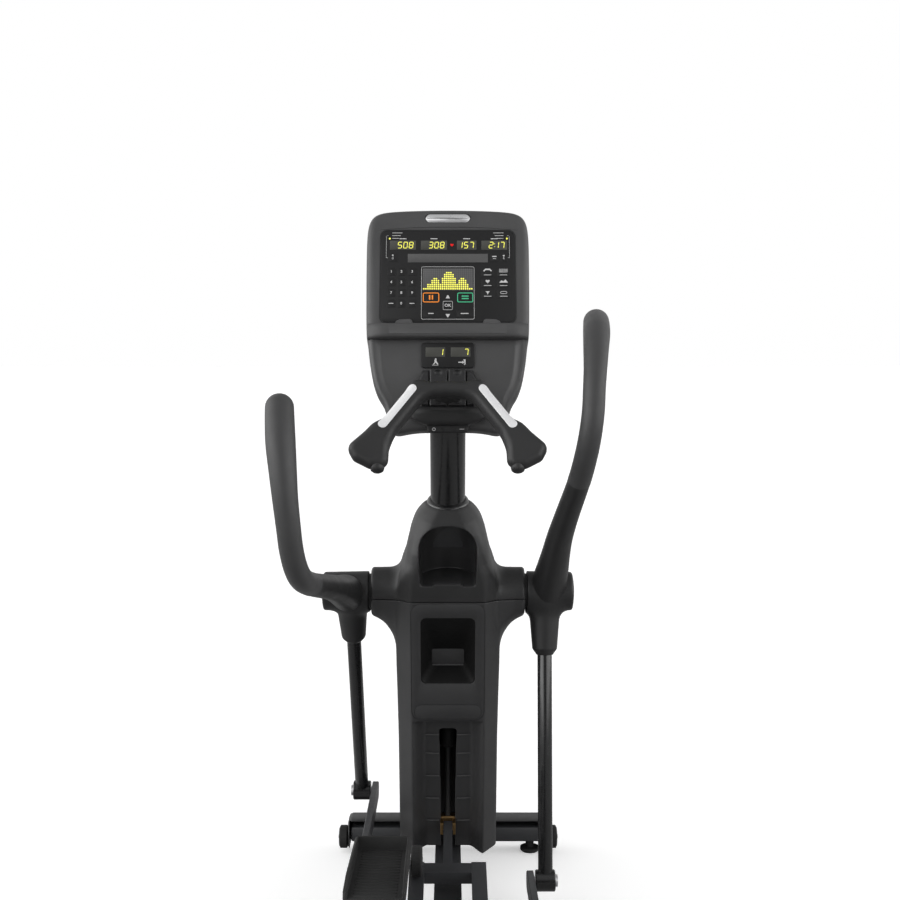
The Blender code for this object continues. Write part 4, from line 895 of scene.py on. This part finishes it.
def seven(batch, digit, u, v, width, height, near):
    """One slanted seven-segment digit, its lower left corner at (u, v)."""
    thick = width * 0.165
    lean = 0.12
    bars = {
        "a": (0, 1, 1, 1), "b": (1, 0.5, 1, 1), "c": (1, 0, 1, 0.5), "d": (0, 0, 1, 0), "e": (0, 0, 0, 0.5),
        "f": (0, 0.5, 0, 1), "g": (0, 0.5, 1, 0.5),
    }
    for key in SEGMENTS[digit]:
        x0, z0, x1, z1 = bars[key]
        a = Vector((x0 * (width - thick) + thick / 2, z0 * (height - thick) + thick / 2))
        b = Vector((x1 * (width - thick) + thick / 2, z1 * (height - thick) + thick / 2))
        along = (b - a).normalized()
        a, b = a + along * thick * 0.18, b - along * thick * 0.18
        side = Vector((-along.y, along.x)) * thick / 2
        cut = along * thick * 0.5
        outline = [a, a + cut + side, b - cut + side, b, b - cut - side, a + cut - side]
        outline = [(u + p.x + lean * p.y, v + p.y) for p in outline]
        batch.prism(outline, near, near + 0.0004)


def glyphs(batch, text, u, v, height, near):
    """Plain numerals or letters in Blender's own typeface, centred on (u, v)."""
    curve = bpy.data.curves.new("glyph", "FONT")
    curve.body = text
    curve.size = height * 1.35
    curve.align_x = "CENTER"
    curve.align_y = "CENTER"
    curve.extrude = 0.0001
    curve.offset = 0.00025
    curve.resolution_u = 3
    holder = bpy.data.objects.new("glyph", curve)
    mesh = bpy.data.meshes.new_from_object(holder)
    start = len(batch.points)
    batch.points += [(u + p.co.x, near - p.co.z, v + p.co.y) for p in mesh.vertices]
    batch.faces += [tuple(start + i for i in face.vertices) for face in mesh.polygons]
    bpy.data.objects.remove(holder)
    bpy.data.curves.remove(curve)
    bpy.data.meshes.remove(mesh)


def disc(batch, u, v, radius, near, sides=8):
    outline = [
        (
            u + radius * math.cos(math.tau * k / sides), v + radius * math.sin(math.tau * k / sides)
        ) for k in range(sides)
    ]
    batch.prism(outline, near, near + 0.0004)


def bar(batch, u, v, width, height, near):
    tile(
        batch, (u - width / 2, v - height / 2), (u + width / 2, v + height / 2), height * 0.45, near,
        near + 0.0003, 0.00008, 3
    )


def heart(batch, u, v, size, near):
    outline = []
    for k in range(24):
        t = math.tau * k / 24
        x = 0.5 * math.sin(t) ** 3
        z = 0.41 * math.cos(t) - 0.16 * math.cos(2 * t) - 0.06 * math.cos(3 * t) - 0.03 * math.cos(4 * t)
        outline.append((u - x * size, v + z * size))
    batch.prism(outline, near, near + 0.0004)


OVER = -0.0026
BARS = (1, 1, 3, 3, 5, 6, 6, 5, 3, 6, 8, 9, 9, 9, 8, 6, 3, 5, 6, 6, 5, 3, 1, 1)


def display():
    film = Batch()
    tile(film, (-0.1685, 0.2865), (0.1685, 0.533), 0.0165, OVER + 0.0004, 0.004, 0.0012, 10)
    film.make("display_face", FILM, nodes="display_overlay", placed=CONSOLE)
    rim = Batch()
    ring_tile(rim, (-0.1715, 0.2835), (0.1715, 0.536), 0.019, 0.0024, -0.0013, 0.002, 10)
    rim.make("display_rim", DARK, placed=CONSOLE)
    windows, lit, ink, glass = Batch(), Batch(), Batch(), Batch()
    near = OVER - 0.0002
    spans = (
        (-0.1465, -0.0805, "508"), (-0.0680, -0.0020, "308"), (0.0230, 0.0725, "157"), (0.0850, 0.1500, "217")
    )
    for left, right, shown in spans:
        tile(windows, (left, 0.4805), (right, 0.5055), 0.0012, near, OVER + 0.001, 0.0002, 3)
        pitch = 0.0142
        for k, digit in enumerate(shown):
            u = right - 0.0035 - pitch * (len(shown) - k) - 0.001
            seven(lit, digit, u, 0.4843, 0.0108, 0.0178, near - 0.0002)
        bar(ink, (left + right) / 2, 0.5105, 0.018, 0.0022, near)
    for v in (0.4895, 0.4965):
        disc(lit, 0.1185, v, 0.0010, near - 0.0002, 12)
    heart(glass, 0.0103, 0.4935, 0.0088, near - 0.0001)
    glass.make("pulse_heart", RED, placed=CONSOLE)
    windows.make("readout_windows", LCD, placed=CONSOLE)
    strip = Batch()
    tile(strip, (-0.101, 0.4465), (0.101, 0.4695), 0.001, near, OVER + 0.001, 0.0002, 3)
    strip.make("message_window", MATRIX, placed=CONSOLE)
    graph = Batch()
    tile(graph, (-0.063, 0.3715), (0.063, 0.4300), 0.001, near, OVER + 0.001, 0.0002, 3)
    graph.make("graph_window", GRAPH, placed=CONSOLE)
    pitch_u, pitch_v = 0.1255 / len(BARS), 0.0054
    for k, height in enumerate(BARS):
        for row in range(height):
            disc(lit, -0.06275 + pitch_u * (k + 0.5), 0.3755 + pitch_v * row, 0.0021, near - 0.0002, 8)
    for u in (-0.147, 0.1495):
        disc(lit, u, 0.5108, 0.0024, near - 0.0002, 12)
    lit.make("lit_segments", LIT, placed=CONSOLE)
    # Corner brackets, labels and keys.
    for side in (-1, 1):
        for k in range(3):
            bar(ink, side * (0.128 + 0.002 * k), 0.5265 - 0.0075 * k, 0.026 - 0.004 * k, 0.0014, near)
        ring = [(side * 0.1555, 0.517), (side * 0.1535, 0.519), (side * 0.1505, 0.519)]
        for a, b in ((ring[0], (side * 0.1555, 0.460)), (ring[1], ring[2])):
            low = (min(a[0], b[0]) - 0.0004, min(a[1], b[1]) - 0.0004)
            high = (max(a[0], b[0]) + 0.0004, max(a[1], b[1]) + 0.0004)
            tile(ink, low, high, 0.0003, near, near + 0.0003, 0.00005, 2)
        bar(ink, side * 0.1535, 0.459, 0.0045, 0.0010, near)
    keys = Batch()
    for row in range(4):
        for column, u in enumerate((-0.142, -0.1165, -0.0895)):
            v = 0.4216 - 0.0283 * row
            tile(
                keys, (u - 0.0105, v - 0.0105), (u + 0.0105, v + 0.0105), 0.0035, OVER - 0.0001, OVER + 0.001,
                0.0003, 4
            )
            if row < 3:
                glyphs(ink, str(3 * row + column + 1), u, v, 0.0068, OVER - 0.00045)
            elif column == 1:
                glyphs(ink, "0", u, v, 0.0068, OVER - 0.00045)
            else:
                bar(ink, u, v, 0.0125, 0.0020, OVER - 0.0005)
    for row in range(3):
        for u in (0.100, 0.140):
            v = 0.4195 - 0.0285 * row
            tile(
                keys, (u - 0.0165, v - 0.0115), (u + 0.0165, v + 0.0115), 0.004, OVER - 0.0001, OVER + 0.001,
                0.0003, 4
            )
            bar(ink, u, v - 0.0068, 0.019, 0.0015, OVER - 0.0005)
    icons(ink, OVER - 0.0005)
    for low, high in (((-0.062, 0.300), (-0.022, 0.320)), ((0.022, 0.300), (0.062, 0.320)),
        ((-0.152, 0.448), (-0.126, 0.472)),
                      ((0.1075, 0.448), (0.1275, 0.472)), ((0.1315, 0.448), (0.1505, 0.472))):
        tile(keys, low, high, 0.0035, OVER - 0.0001, OVER + 0.001, 0.0003, 4)
    bar(ink, -0.042, 0.310, 0.014, 0.0024, OVER - 0.0005)
    bar(ink, 0.042, 0.310, 0.020, 0.0024, OVER - 0.0005)
    disc(ink, -0.139, 0.4655, 0.0022, OVER - 0.0005, 12)
    bar(ink, -0.139, 0.4580, 0.0042, 0.0080, OVER - 0.0005)
    bar(ink, 0.1175, 0.4625, 0.0115, 0.0028, OVER - 0.0005)
    bar(ink, 0.1175, 0.4565, 0.0080, 0.0014, OVER - 0.0005)
    disc(ink, 0.141, 0.4645, 0.0024, OVER - 0.0005, 12)
    bar(ink, 0.141, 0.4575, 0.0036, 0.0062, OVER - 0.0005)
    keys.make("membrane_keys", FILM, placed=CONSOLE)
    frame_line = Batch()
    ring_tile(frame_line, (-0.0665, 0.2945), (0.0665, 0.4350), 0.0045, 0.0009, near - 0.0001, OVER + 0.001, 5)
    ring_tile(frame_line, (-0.0122, 0.3195), (0.0122, 0.3430), 0.0035, 0.0009, near - 0.0002, OVER + 0.001, 5)
    frame_line.make("centre_frame", PRINT, placed=CONSOLE)
    glyphs(ink, "OK", 0, 0.3312, 0.0082, OVER - 0.0005)
    for direction, v in ((1, 0.3500), (-1, 0.3085)):
        ink.prism(
            [
                (-0.0055, v), (0.0055, v), (0.0012, v + direction * 0.0085), (-0.0012, v + direction * 0.0085)
            ][::direction],
            OVER - 0.0005, OVER
        )
    ink.make("printed_marks", PRINT, placed=CONSOLE)
    stop_key, go_key = Batch(), Batch()
    ring_tile(stop_key, (-0.0625, 0.3395), (-0.0215, 0.3655), 0.0045, 0.0021, near - 0.0003, OVER + 0.001, 5)
    for u in (-0.0455, -0.0385):
        tile(stop_key, (u - 0.0018, 0.3465), (u + 0.0018, 0.3590), 0.0008, near - 0.0002, OVER, 0.0001, 3)
    stop_key.make("stop_key", ORANGE, placed=CONSOLE)
    ring_tile(go_key, (0.0235, 0.3395), (0.0635, 0.3655), 0.0045, 0.0021, near - 0.0003, OVER + 0.001, 5)
    bar(go_key, 0.0435, 0.3560, 0.018, 0.0032, near - 0.0002)
    bar(go_key, 0.0435, 0.3495, 0.018, 0.0032, near - 0.0002)
    go_key.make("go_key", GREEN, placed=CONSOLE)
    brow = Batch()
    arc = [
        (
            -0.176 + 0.352 * k / 24, 0.0004, 0.5325 + 0.0120 * math.cos(math.pi * (k - 12) / 26) ** 0.6
        ) for k in range(25)
    ]
    swept_flat(brow, arc, [0.0012] * 25)
    brow.make("display_brow", HOUSING, placed=CONSOLE)
    badge = Batch()
    tile(
        badge, (-0.0565, 0.5570), (0.0565, 0.5800), 0.0131, -0.0025 + face_depth(0.567, 1), 0.012, 0.0022,
        12
    )
    badge.make("badge_pill", BADGE, placed=CONSOLE)
    groove = Batch()
    ring_tile(
        groove, (-0.0585, 0.5550), (0.0585, 0.5820), 0.0134, 0.0016, -0.0002 + face_depth(0.567, 1), 0.014,
        12
    )
    groove.make("badge_groove", DARK, placed=CONSOLE)


def icons(ink, near):
    """Small pictograms above the six programme keys."""
    u, v = 0.100, 0.4245
    ink.prism([(u - 0.011, v - 0.001), (u - 0.006, v + 0.005), (u + 0.006, v + 0.005),
        (u + 0.011, v - 0.001), (u + 0.0085, v - 0.003),
               (u + 0.005, v + 0.001), (u - 0.005, v + 0.001), (u - 0.0085, v - 0.003)], near, near + 0.0003)
    for k in range(4):
        bar(ink, 0.1315 + 0.0056 * k, 0.4245, 0.0032, 0.0095, near)
    bar(ink, 0.1400, 0.4205, 0.020, 0.0024, near)
    heart(ink, 0.100, 0.3955, 0.0105, near)
    ink.prism(
        [(0.129, 0.3920), (0.135, 0.3985), (0.139, 0.3955), (0.145, 0.4005), (0.151, 0.3920)], near,
        near + 0.0003
    )
    ink.prism(
        [
            (0.0945, 0.3690), (0.1055, 0.3690), (0.1012, 0.3640), (0.1012, 0.3610), (0.0988, 0.3610),
            (0.0988, 0.3640)
        ],
        near, near + 0.0003
    )
    ring_tile(ink, (0.1315, 0.3620), (0.1485, 0.3690), 0.0034, 0.0012, near, near + 0.0003, 4)


def lower_display():
    film, windows, lit, ink = Batch(), Batch(), Batch(), Batch()
    base = 0.0070
    tile(film, (-0.0655, 0.1705), (0.0655, 0.2362), 0.0075, base - 0.0030, base + 0.006, 0.0010, 8)
    film.make("lower_display_face", FILM, nodes="lower_display", placed=CONSOLE)
    for left, right, digit in ((-0.055, -0.0065, "1"), (0.0075, 0.056, "7")):
        tile(windows, (left, 0.1990), (right, 0.2235), 0.0012, base - 0.0032, base, 0.0002, 3)
        seven(lit, digit, right - 0.0165, 0.2020, 0.0105, 0.0178, base - 0.0034)
    windows.make("lower_windows", LCD, placed=CONSOLE)
    lit.make("lower_segments", LIT, placed=CONSOLE)
    near = base - 0.0033
    disc(ink, -0.0300, 0.1925, 0.0021, near, 12)
    ink.prism(
        [
            (-0.0335, 0.1900), (-0.0285, 0.1905), (-0.0265, 0.1850), (-0.0230, 0.1790), (-0.0255, 0.1785),
            (-0.0300, 0.1835), (-0.0345, 0.1785), (-0.0365, 0.1795), (-0.0325, 0.1850)
        ],
        near, near + 0.0003
    )
    ink.prism([(-0.039, 0.1765), (-0.023, 0.1765), (-0.023, 0.1775), (-0.039, 0.1775)], near, near + 0.0003)
    ink.prism(
        [
            (0.026, 0.1858), (0.036, 0.1858), (0.036, 0.1885), (0.0415, 0.1845), (0.036, 0.1805),
            (0.036, 0.1832), (0.026, 0.1832)
        ],
        near, near + 0.0003
    )
    ink.prism(
        [
            (0.0385, 0.1920), (0.044, 0.1920), (0.0440, 0.1800), (0.0415, 0.1775), (0.0395, 0.1790),
            (0.0420, 0.1820)
        ],
        near, near + 0.0003
    )
    ink.make("lower_marks", PRINT, placed=CONSOLE)


def toggles():
    """Two rocker paddles with finger scoops, between side cheeks."""
    low, high, step = (-0.001, -0.026, 0.058), (0.068, 0.006, 0.166), 0.0009
    u, d, v = grid(low, high, step)
    middle = 0.112
    bow = 0.010 * ((v - middle) / 0.045) ** 2
    paddle = block((u, d + 0.012 + 0.35 * bow, v), (0.0227, 0.0, middle), (0.0216, 0.0085, 0.0477), 0.0045)
    for end in (0.1495, 0.0760):
        scoop = np.sqrt((u - 0.0235) ** 2 + (d + 0.0315) ** 2 + ((v - end) * 1.25) ** 2) - 0.0125
        paddle = carve(paddle, scoop, 0.002)
    for side, sign in SIGN.items():
        skin(
            f"rocker_{side}", paddle, low, step, DARK, f"toggle_{side}", f"toggle_{side}",
            CONSOLE @ Matrix.Diagonal((sign, 1, 1, 1))
        )
    cheeks = Batch()
    for sign in (-1, 1):
        outline = [(sign * 0.0455, 0.066), (sign * 0.0640, 0.068), (sign * 0.0690, 0.090),
            (sign * 0.0690, 0.140),
                   (sign * 0.0600, 0.156), (sign * 0.0455, 0.161)]
        cheeks.prism(outline, -0.0150, 0.016, 0.005)
    cheeks.make("rocker_cheeks", DARK, placed=CONSOLE, smooth=40, bevel=0.0015)
    bed = Batch()
    tile(bed, (-0.0660, 0.060), (0.0660, 0.163), 0.006, -0.0005, 0.02, 0.001)
    bed.make("rocker_bed", DARK, placed=CONSOLE)


def neck():
    """Moulded neck under the rockers, tapering to the port collar round the upright."""
    low, high, step = (0.0, 0.340, 1.250), (0.112, 0.520, 1.352), 0.0016
    x, y, z = grid(low, high, step)
    front = 0.388 + 0.9 * np.maximum(x - 0.02, 0) ** 1.6
    wide = block((x, y, z), (0, 0.455, 1.3040), (0.0960, 0.100, 0.0225), 0.013)
    wide = trim(wide, front - y, 0.018)
    wide = trim(wide, 0.447 * (x - 0.0965) - 0.894 * (z - 1.3010), 0.008)
    lean_y = 0.572 - (z - 1.05) * math.tan(UPRIGHT_LEAN)
    sleeve = np.sqrt(x**2 + (y - lean_y) ** 2) - 0.0485
    face = block(
        (x, y, z), (0, 0.455, 1.2775), (0.0500 + 0.12 * np.clip(z - 1.268, 0, 0.02), 0.050, 0.0145), 0.006
    )
    solid = blend(wide, blend(trim(sleeve, 1.2630 - z, 0.002), face, 0.006), 0.004)
    solid = trim(solid, y - 0.515, 0.004)
    skin("neck_moulding", solid, low, step, PULSE, nodes="console_neck", mirrored=True)
    ports = Batch()
    port_y = 0.4048
    turned(
        ports, (-0.014, port_y - 0.0012, 1.2727), (-0.014, port_y + 0.004, 1.2727),
        barrel(0.0052, 0.0042, 0.0006), 20
    )
    tile(ports, (0.0035, 1.2697), (0.0215, 1.2757), 0.001, port_y - 0.0008, port_y + 0.004, 0.0003)
    ports.make("neck_ports", DARK)
    marks = Batch()
    ring_tile(marks, (-0.0380, 1.2685), (-0.0290, 1.2765), 0.0045, 0.0014, port_y - 0.0008, port_y + 0.002, 6)
    tile(marks, (0.0285, 1.2721), (0.0400, 1.2733), 0.0004, port_y - 0.0008, port_y + 0.002, 0.0001)
    marks.make("port_marks", PRINT)


# ---------------------------------------------------------------- pulse bar
PULSE_ORIGIN = Vector((0, 0.331, 1.370))
PULSE_FRAME = Matrix((
    (1, 0, 0, PULSE_ORIGIN.x), (0, 0.46, -0.888, PULSE_ORIGIN.y), (0, 0.888, 0.46, PULSE_ORIGIN.z),
    (0, 0, 0, 1),
))
LEG_TOP, LEG_END = (0.068, 0.004), (0.150, 0.117)
PADDLE = (
    (0.161, 0.112), (0.2070, 0.1545), (0.2010, 0.1660), (0.1745, 0.1805), (0.1585, 0.1805), (0.1575, 0.150)
)


def segment(x, q, a, b, radius):
    length = (b[0] - a[0]) ** 2 + (b[1] - a[1]) ** 2
    t = np.clip(((x - a[0]) * (b[0] - a[0]) + (q - a[1]) * (b[1] - a[1])) / length, 0, 1)
    return np.sqrt((x - a[0] - t * (b[0] - a[0])) ** 2 + (q - a[1] - t * (b[1] - a[1])) ** 2) - radius


def polygon(x, q, corners, radius):
    """Distance to a rounded polygon."""
    nearest = None
    inside = np.zeros(np.broadcast(x, q).shape, bool)
    for a, b in zip(corners, corners[1:] + corners[:1]):
        edge = segment(x, q, a, b, 0)
        nearest = edge if nearest is None else np.minimum(nearest, edge)
        crosses = (a[1] > q) != (b[1] > q)
        span = (b[1] - a[1]) or 1e-9
        inside ^= crosses & (x < (b[0] - a[0]) * (q - a[1]) / span + a[0])
    return np.where(inside, -nearest, nearest) - radius


def pulse_solid(x, up, n):
    """Crossbar, legs and flared ends, all lying in one tilted plane: across, up the plane and out of it."""
    q = -up
    flat = blend(segment(x, q, (0, 0.0), LEG_TOP, 0.0182), segment(x, q, LEG_TOP, LEG_END, 0.0225), 0.020)
    flat = blend(flat, polygon(x, q, PADDLE, 0.0220), 0.026)
    thick = np.interp(q, (0.0, 0.10, 0.15, 0.20), (0.0225, 0.0225, 0.0205, 0.0165)).astype(np.float32)
    a, b, soft = flat + 0.0175, np.abs(n) - thick + 0.0175, 0.0175
    return np.sqrt(np.maximum(a, 0) ** 2 + np.maximum(b, 0) ** 2) + np.minimum(np.maximum(a, b), 0) - soft


def pulse_bar():
    low, high, step = (0.0, -0.215, -0.030), (0.243, 0.032, 0.030), 0.0015
    solid = pulse_solid(*grid(low, high, step))
    skin("pulse_moulding", solid, low, step, PULSE, nodes="pulse_bar", placed=PULSE_FRAME, mirrored=True)
    buttons = Batch()
    brackets = Batch()
    for sign in (-1, 1):
        start = PULSE_FRAME @ Vector((sign * 0.1612, -0.176, -0.002))
        end = PULSE_FRAME @ Vector((sign * 0.1618, -0.2105, -0.002))
        turned(
            buttons, start, end,
            ((0, 0.0165), (0.024, 0.0165), (0.030, 0.0148), (0.0335, 0.0100), (0.0345, 0.003)), 28
        )
        root = PULSE_FRAME @ Vector((sign * 0.058, 0.0, -0.006))
        turned(brackets, root, root + Vector((0, 0.11, 0.002)), ((0, 0.012), (0.11, 0.012)), 24)
    buttons.make("pulse_end_caps", PULSE, smooth=50)
    brackets.make("pulse_brackets", PULSE)
    # Bright contact strips, lying in the surface of the legs.
    low, high, step = (0.060, -0.128, 0.0), (0.175, 0.022, 0.027), 0.0008
    x, up, n = grid(low, high, step)
    around = pulse_solid(x, up, n)
    strip = np.maximum(around - 0.0010, -0.0016 - around)
    strip = trim(strip, segment(x, -up, (0.0840, 0.0070), (0.1500, 0.0975), 0.0112), 0.0010)
    strip = np.maximum(strip, 0.003 - n)
    for side, sign in SIGN.items():
        place = PULSE_FRAME @ Matrix.Diagonal((sign, 1, 1, 1))
        skin(f"sensor_strip_{side}", strip, low, step, SENSOR, nodes=f"pulse_sensor_{side}", placed=place)


# ---------------------------------------------------------------- everything below the tower
def refined(node, finish, bevel=0.0015, smooth=30.0):
    """The CAD solid again, with its facets merged and its edges rounded."""
    shaped = bmesh.new()
    shaped.from_mesh(NODES[node].data)
    bmesh.ops.remove_doubles(shaped, verts=shaped.verts, dist=0.00002)
    bmesh.ops.dissolve_limit(shaped, angle_limit=math.radians(0.5), verts=shaped.verts, edges=shaped.edges)
    mesh = bpy.data.meshes.new(f"{node}_shape")
    shaped.to_mesh(mesh)
    shaped.free()
    mesh.materials.clear()
    return piece(f"{node}_shape", mesh, finish, NODES[node]["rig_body"], node, None, smooth, bevel)


def treads(pad, body):
    """Raised ribs across the flat floor of a foot pad."""
    floor = max(pad.data.polygons, key=lambda face: face.area if face.normal.z > 0.8 else 0)
    corners = [pad.data.vertices[k].co for k in floor.vertices]
    along = Vector((0, floor.normal.z, -floor.normal.y)).normalized()
    reaches = [corner.dot(along) for corner in corners]
    sides = [corner.x for corner in corners]
    start, length = min(reaches) + 0.016, max(reaches) - min(reaches) - 0.032
    left, right = min(sides) + 0.012, max(sides) - 0.012
    base = corners[0] - along * corners[0].dot(along) - floor.normal * 0.0012
    ribs = Batch()
    count = int(length / 0.019)
    for k in range(count + 1):
        place = base + along * (start + length * k / count)
        turned(
            ribs, (left, place.y, place.z), (right, place.y, place.z), barrel(right - left, 0.0034, 0.003), 12
        )
    ribs.make(f"{pad.name}_treads", RUBBER, body, smooth=50)


def machine():
    for node, finish, bevel in (
        ("base_frame", PAINT, 0.0015), ("ramp_frame", PAINT, 0.0012), ("front_cover", SHELL, 0),
        ("foot_beam_left", PAINT, 0.005), ("foot_beam_right", PAINT, 0.005),
        ("foot_pad_left", RUBBER, 0.002), ("foot_pad_right", RUBBER, 0.002),
        ("crank_arm_left", PAINT, 0.0015), ("crank_arm_right", PAINT, 0.0015),
        ("link_left", PAINT, 0.002), ("link_right", PAINT, 0.002),
        # The lift motor is near-black: partly its black cover, partly painted shade deep in its slot.
        ("lift_nut", BRONZE, 0.0008), ("lift_motor", BLACK_PAINTED_SHADE, 0.001),
    ):
        shape = refined(node, finish, bevel)
        if node.startswith("foot_pad"):
            treads(shape, NODES[node]["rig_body"])
    for node, finish in (
        ("shoulder_axle", STEEL), ("link_pin_left", STEEL), ("link_pin_right", STEEL),
        ("roller_axle_left", STEEL), ("roller_axle_right", STEEL),
        ("crank_axle", STEEL), ("lift_screw", GREASED), ("drive_pulley", IRON), ("flywheel", IRON),
        ("drive_belt", RUBBER),
        ("beam_bushing_left", BRONZE), ("beam_bushing_right", BRONZE), ("roller_wheel_left", RUBBER),
        ("roller_wheel_right", RUBBER),
        ("transport_wheel_left", RUBBER), ("transport_wheel_right", RUBBER), ("foot_rear_left", RUBBER),
        ("foot_rear_right", RUBBER),
        ("foot_front_left", RUBBER), ("foot_front_right", RUBBER), ("rear_housing_left", SHELL),
        ("rear_housing_right", SHELL),
    ):
        node = NODES[node]
        node.data.materials.clear()
        node.data.materials.append(finish)


# ---------------------------------------------------------------- studio
def studio():
    floor = bpy.data.meshes.new("floor")
    floor.from_pydata([(-400, -400, 0), (400, -400, 0), (400, 400, 0), (-400, 400, 0)], [], [(0, 1, 2, 3)])
    ground = bpy.data.objects.new("floor", floor)
    bpy.context.scene.collection.objects.link(ground)
    made, tree, principled = nodes_of("floor_white")
    tree.links.new(
        tint(tree, noise(tree, 0.8), (0.88, 0.88, 0.88), (0.92, 0.92, 0.92)), principled.inputs["Base Color"]
    )
    principled.inputs["Roughness"].default_value = 0.6
    principled.inputs["Emission Color"].default_value = (1, 1, 1, 1)
    principled.inputs["Emission Strength"].default_value = FLOOR_GLOW
    # The floor throws little light back up at the undersides.
    matt = tree.nodes.new("ShaderNodeBsdfDiffuse")
    matt.inputs["Color"].default_value = (FLOOR_BOUNCE, FLOOR_BOUNCE, FLOOR_BOUNCE, 1)
    mixed = tree.nodes.new("ShaderNodeMixShader")
    tree.links.new(tree.nodes.new("ShaderNodeLightPath").outputs["Is Camera Ray"], mixed.inputs["Fac"])
    tree.links.new(matt.outputs["BSDF"], mixed.inputs[1])
    tree.links.new(principled.outputs["BSDF"], mixed.inputs[2])
    tree.links.new(mixed.outputs["Shader"], tree.nodes["Material Output"].inputs["Surface"])
    floor.materials.append(made)
    sky()


FLOOR_GLOW = 0.40
FLOOR_BOUNCE = 0.42
# The studio's soft panels: direction, where the light starts and is full (as cosines from it), and radiance.
AMBIENT = 0.06
PANELS = (
    ((-0.93, -0.36, -0.05), 0.45, 0.94, 3.0),
    ((0.93, -0.36, -0.05), 0.48, 0.94, 2.3),
    ((0, -0.45, 1), 0.60, 0.95, 0.42),
    ((-0.75, 0.62, 0.25), 0.55, 0.92, 0.75),
    ((0.75, 0.62, 0.25), 0.55, 0.92, 0.60),
)


def sky():
    world = bpy.data.worlds.new("studio")
    bpy.context.scene.world = world
    world.use_nodes = True
    tree = world.node_tree
    direction = tree.nodes.new("ShaderNodeTexCoord").outputs["Generated"]
    total = None
    for towards, starts, full, power in PANELS:
        cosine = tree.nodes.new("ShaderNodeVectorMath")
        cosine.operation = "DOT_PRODUCT"
        cosine.inputs[1].default_value = Vector(towards).normalized()
        tree.links.new(direction, cosine.inputs[0])
        panel = add(tree, "ShaderNodeMapRange", From_Min=starts, From_Max=full, To_Min=0, To_Max=power)
        panel.interpolation_type = "SMOOTHSTEP"
        tree.links.new(cosine.outputs["Value"], panel.inputs["Value"])
        plus = add(tree, "ShaderNodeMath", operation="ADD")
        plus.inputs[1].default_value = AMBIENT
        tree.links.new(panel.outputs["Result"], plus.inputs[0])
        if total is not None:
            tree.links.new(total, plus.inputs[1])
        total = plus.outputs["Value"]
    lighting = tree.nodes["Background"]
    lighting.inputs["Color"].default_value = (1, 1, 1, 1)
    tree.links.new(total, lighting.inputs["Strength"])
    backdrop = tree.nodes.new("ShaderNodeBackground")
    backdrop.inputs["Color"].default_value = (1, 1, 1, 1)
    mixed = tree.nodes.new("ShaderNodeMixShader")
    tree.links.new(tree.nodes.new("ShaderNodeLightPath").outputs["Is Camera Ray"], mixed.inputs["Fac"])
    tree.links.new(lighting.outputs["Background"], mixed.inputs[1])
    tree.links.new(backdrop.outputs["Background"], mixed.inputs[2])
    tree.links.new(mixed.outputs["Shader"], tree.nodes["World Output"].inputs["Surface"])


def view():
    lens = bpy.data.cameras.new("camera")
    lens.lens = 50
    lens.sensor_width = 36
    camera = bpy.data.objects.new("camera", lens)
    camera.location = (0.0055, -2.62, 1.4335)
    camera.rotation_euler = (math.radians(86.0), 0, 0)
    bpy.context.scene.collection.objects.link(camera)
    bpy.context.scene.camera = camera
    bpy.context.scene.view_settings.view_transform = "Standard"


studio()
view()
upper_shell()
lower_shell()
tower_details()
panel_frame()
upright()
arms()
console_body()
console_rear()
reading_ledge()
display()
lower_display()
toggles()
neck()
pulse_bar()
machine()
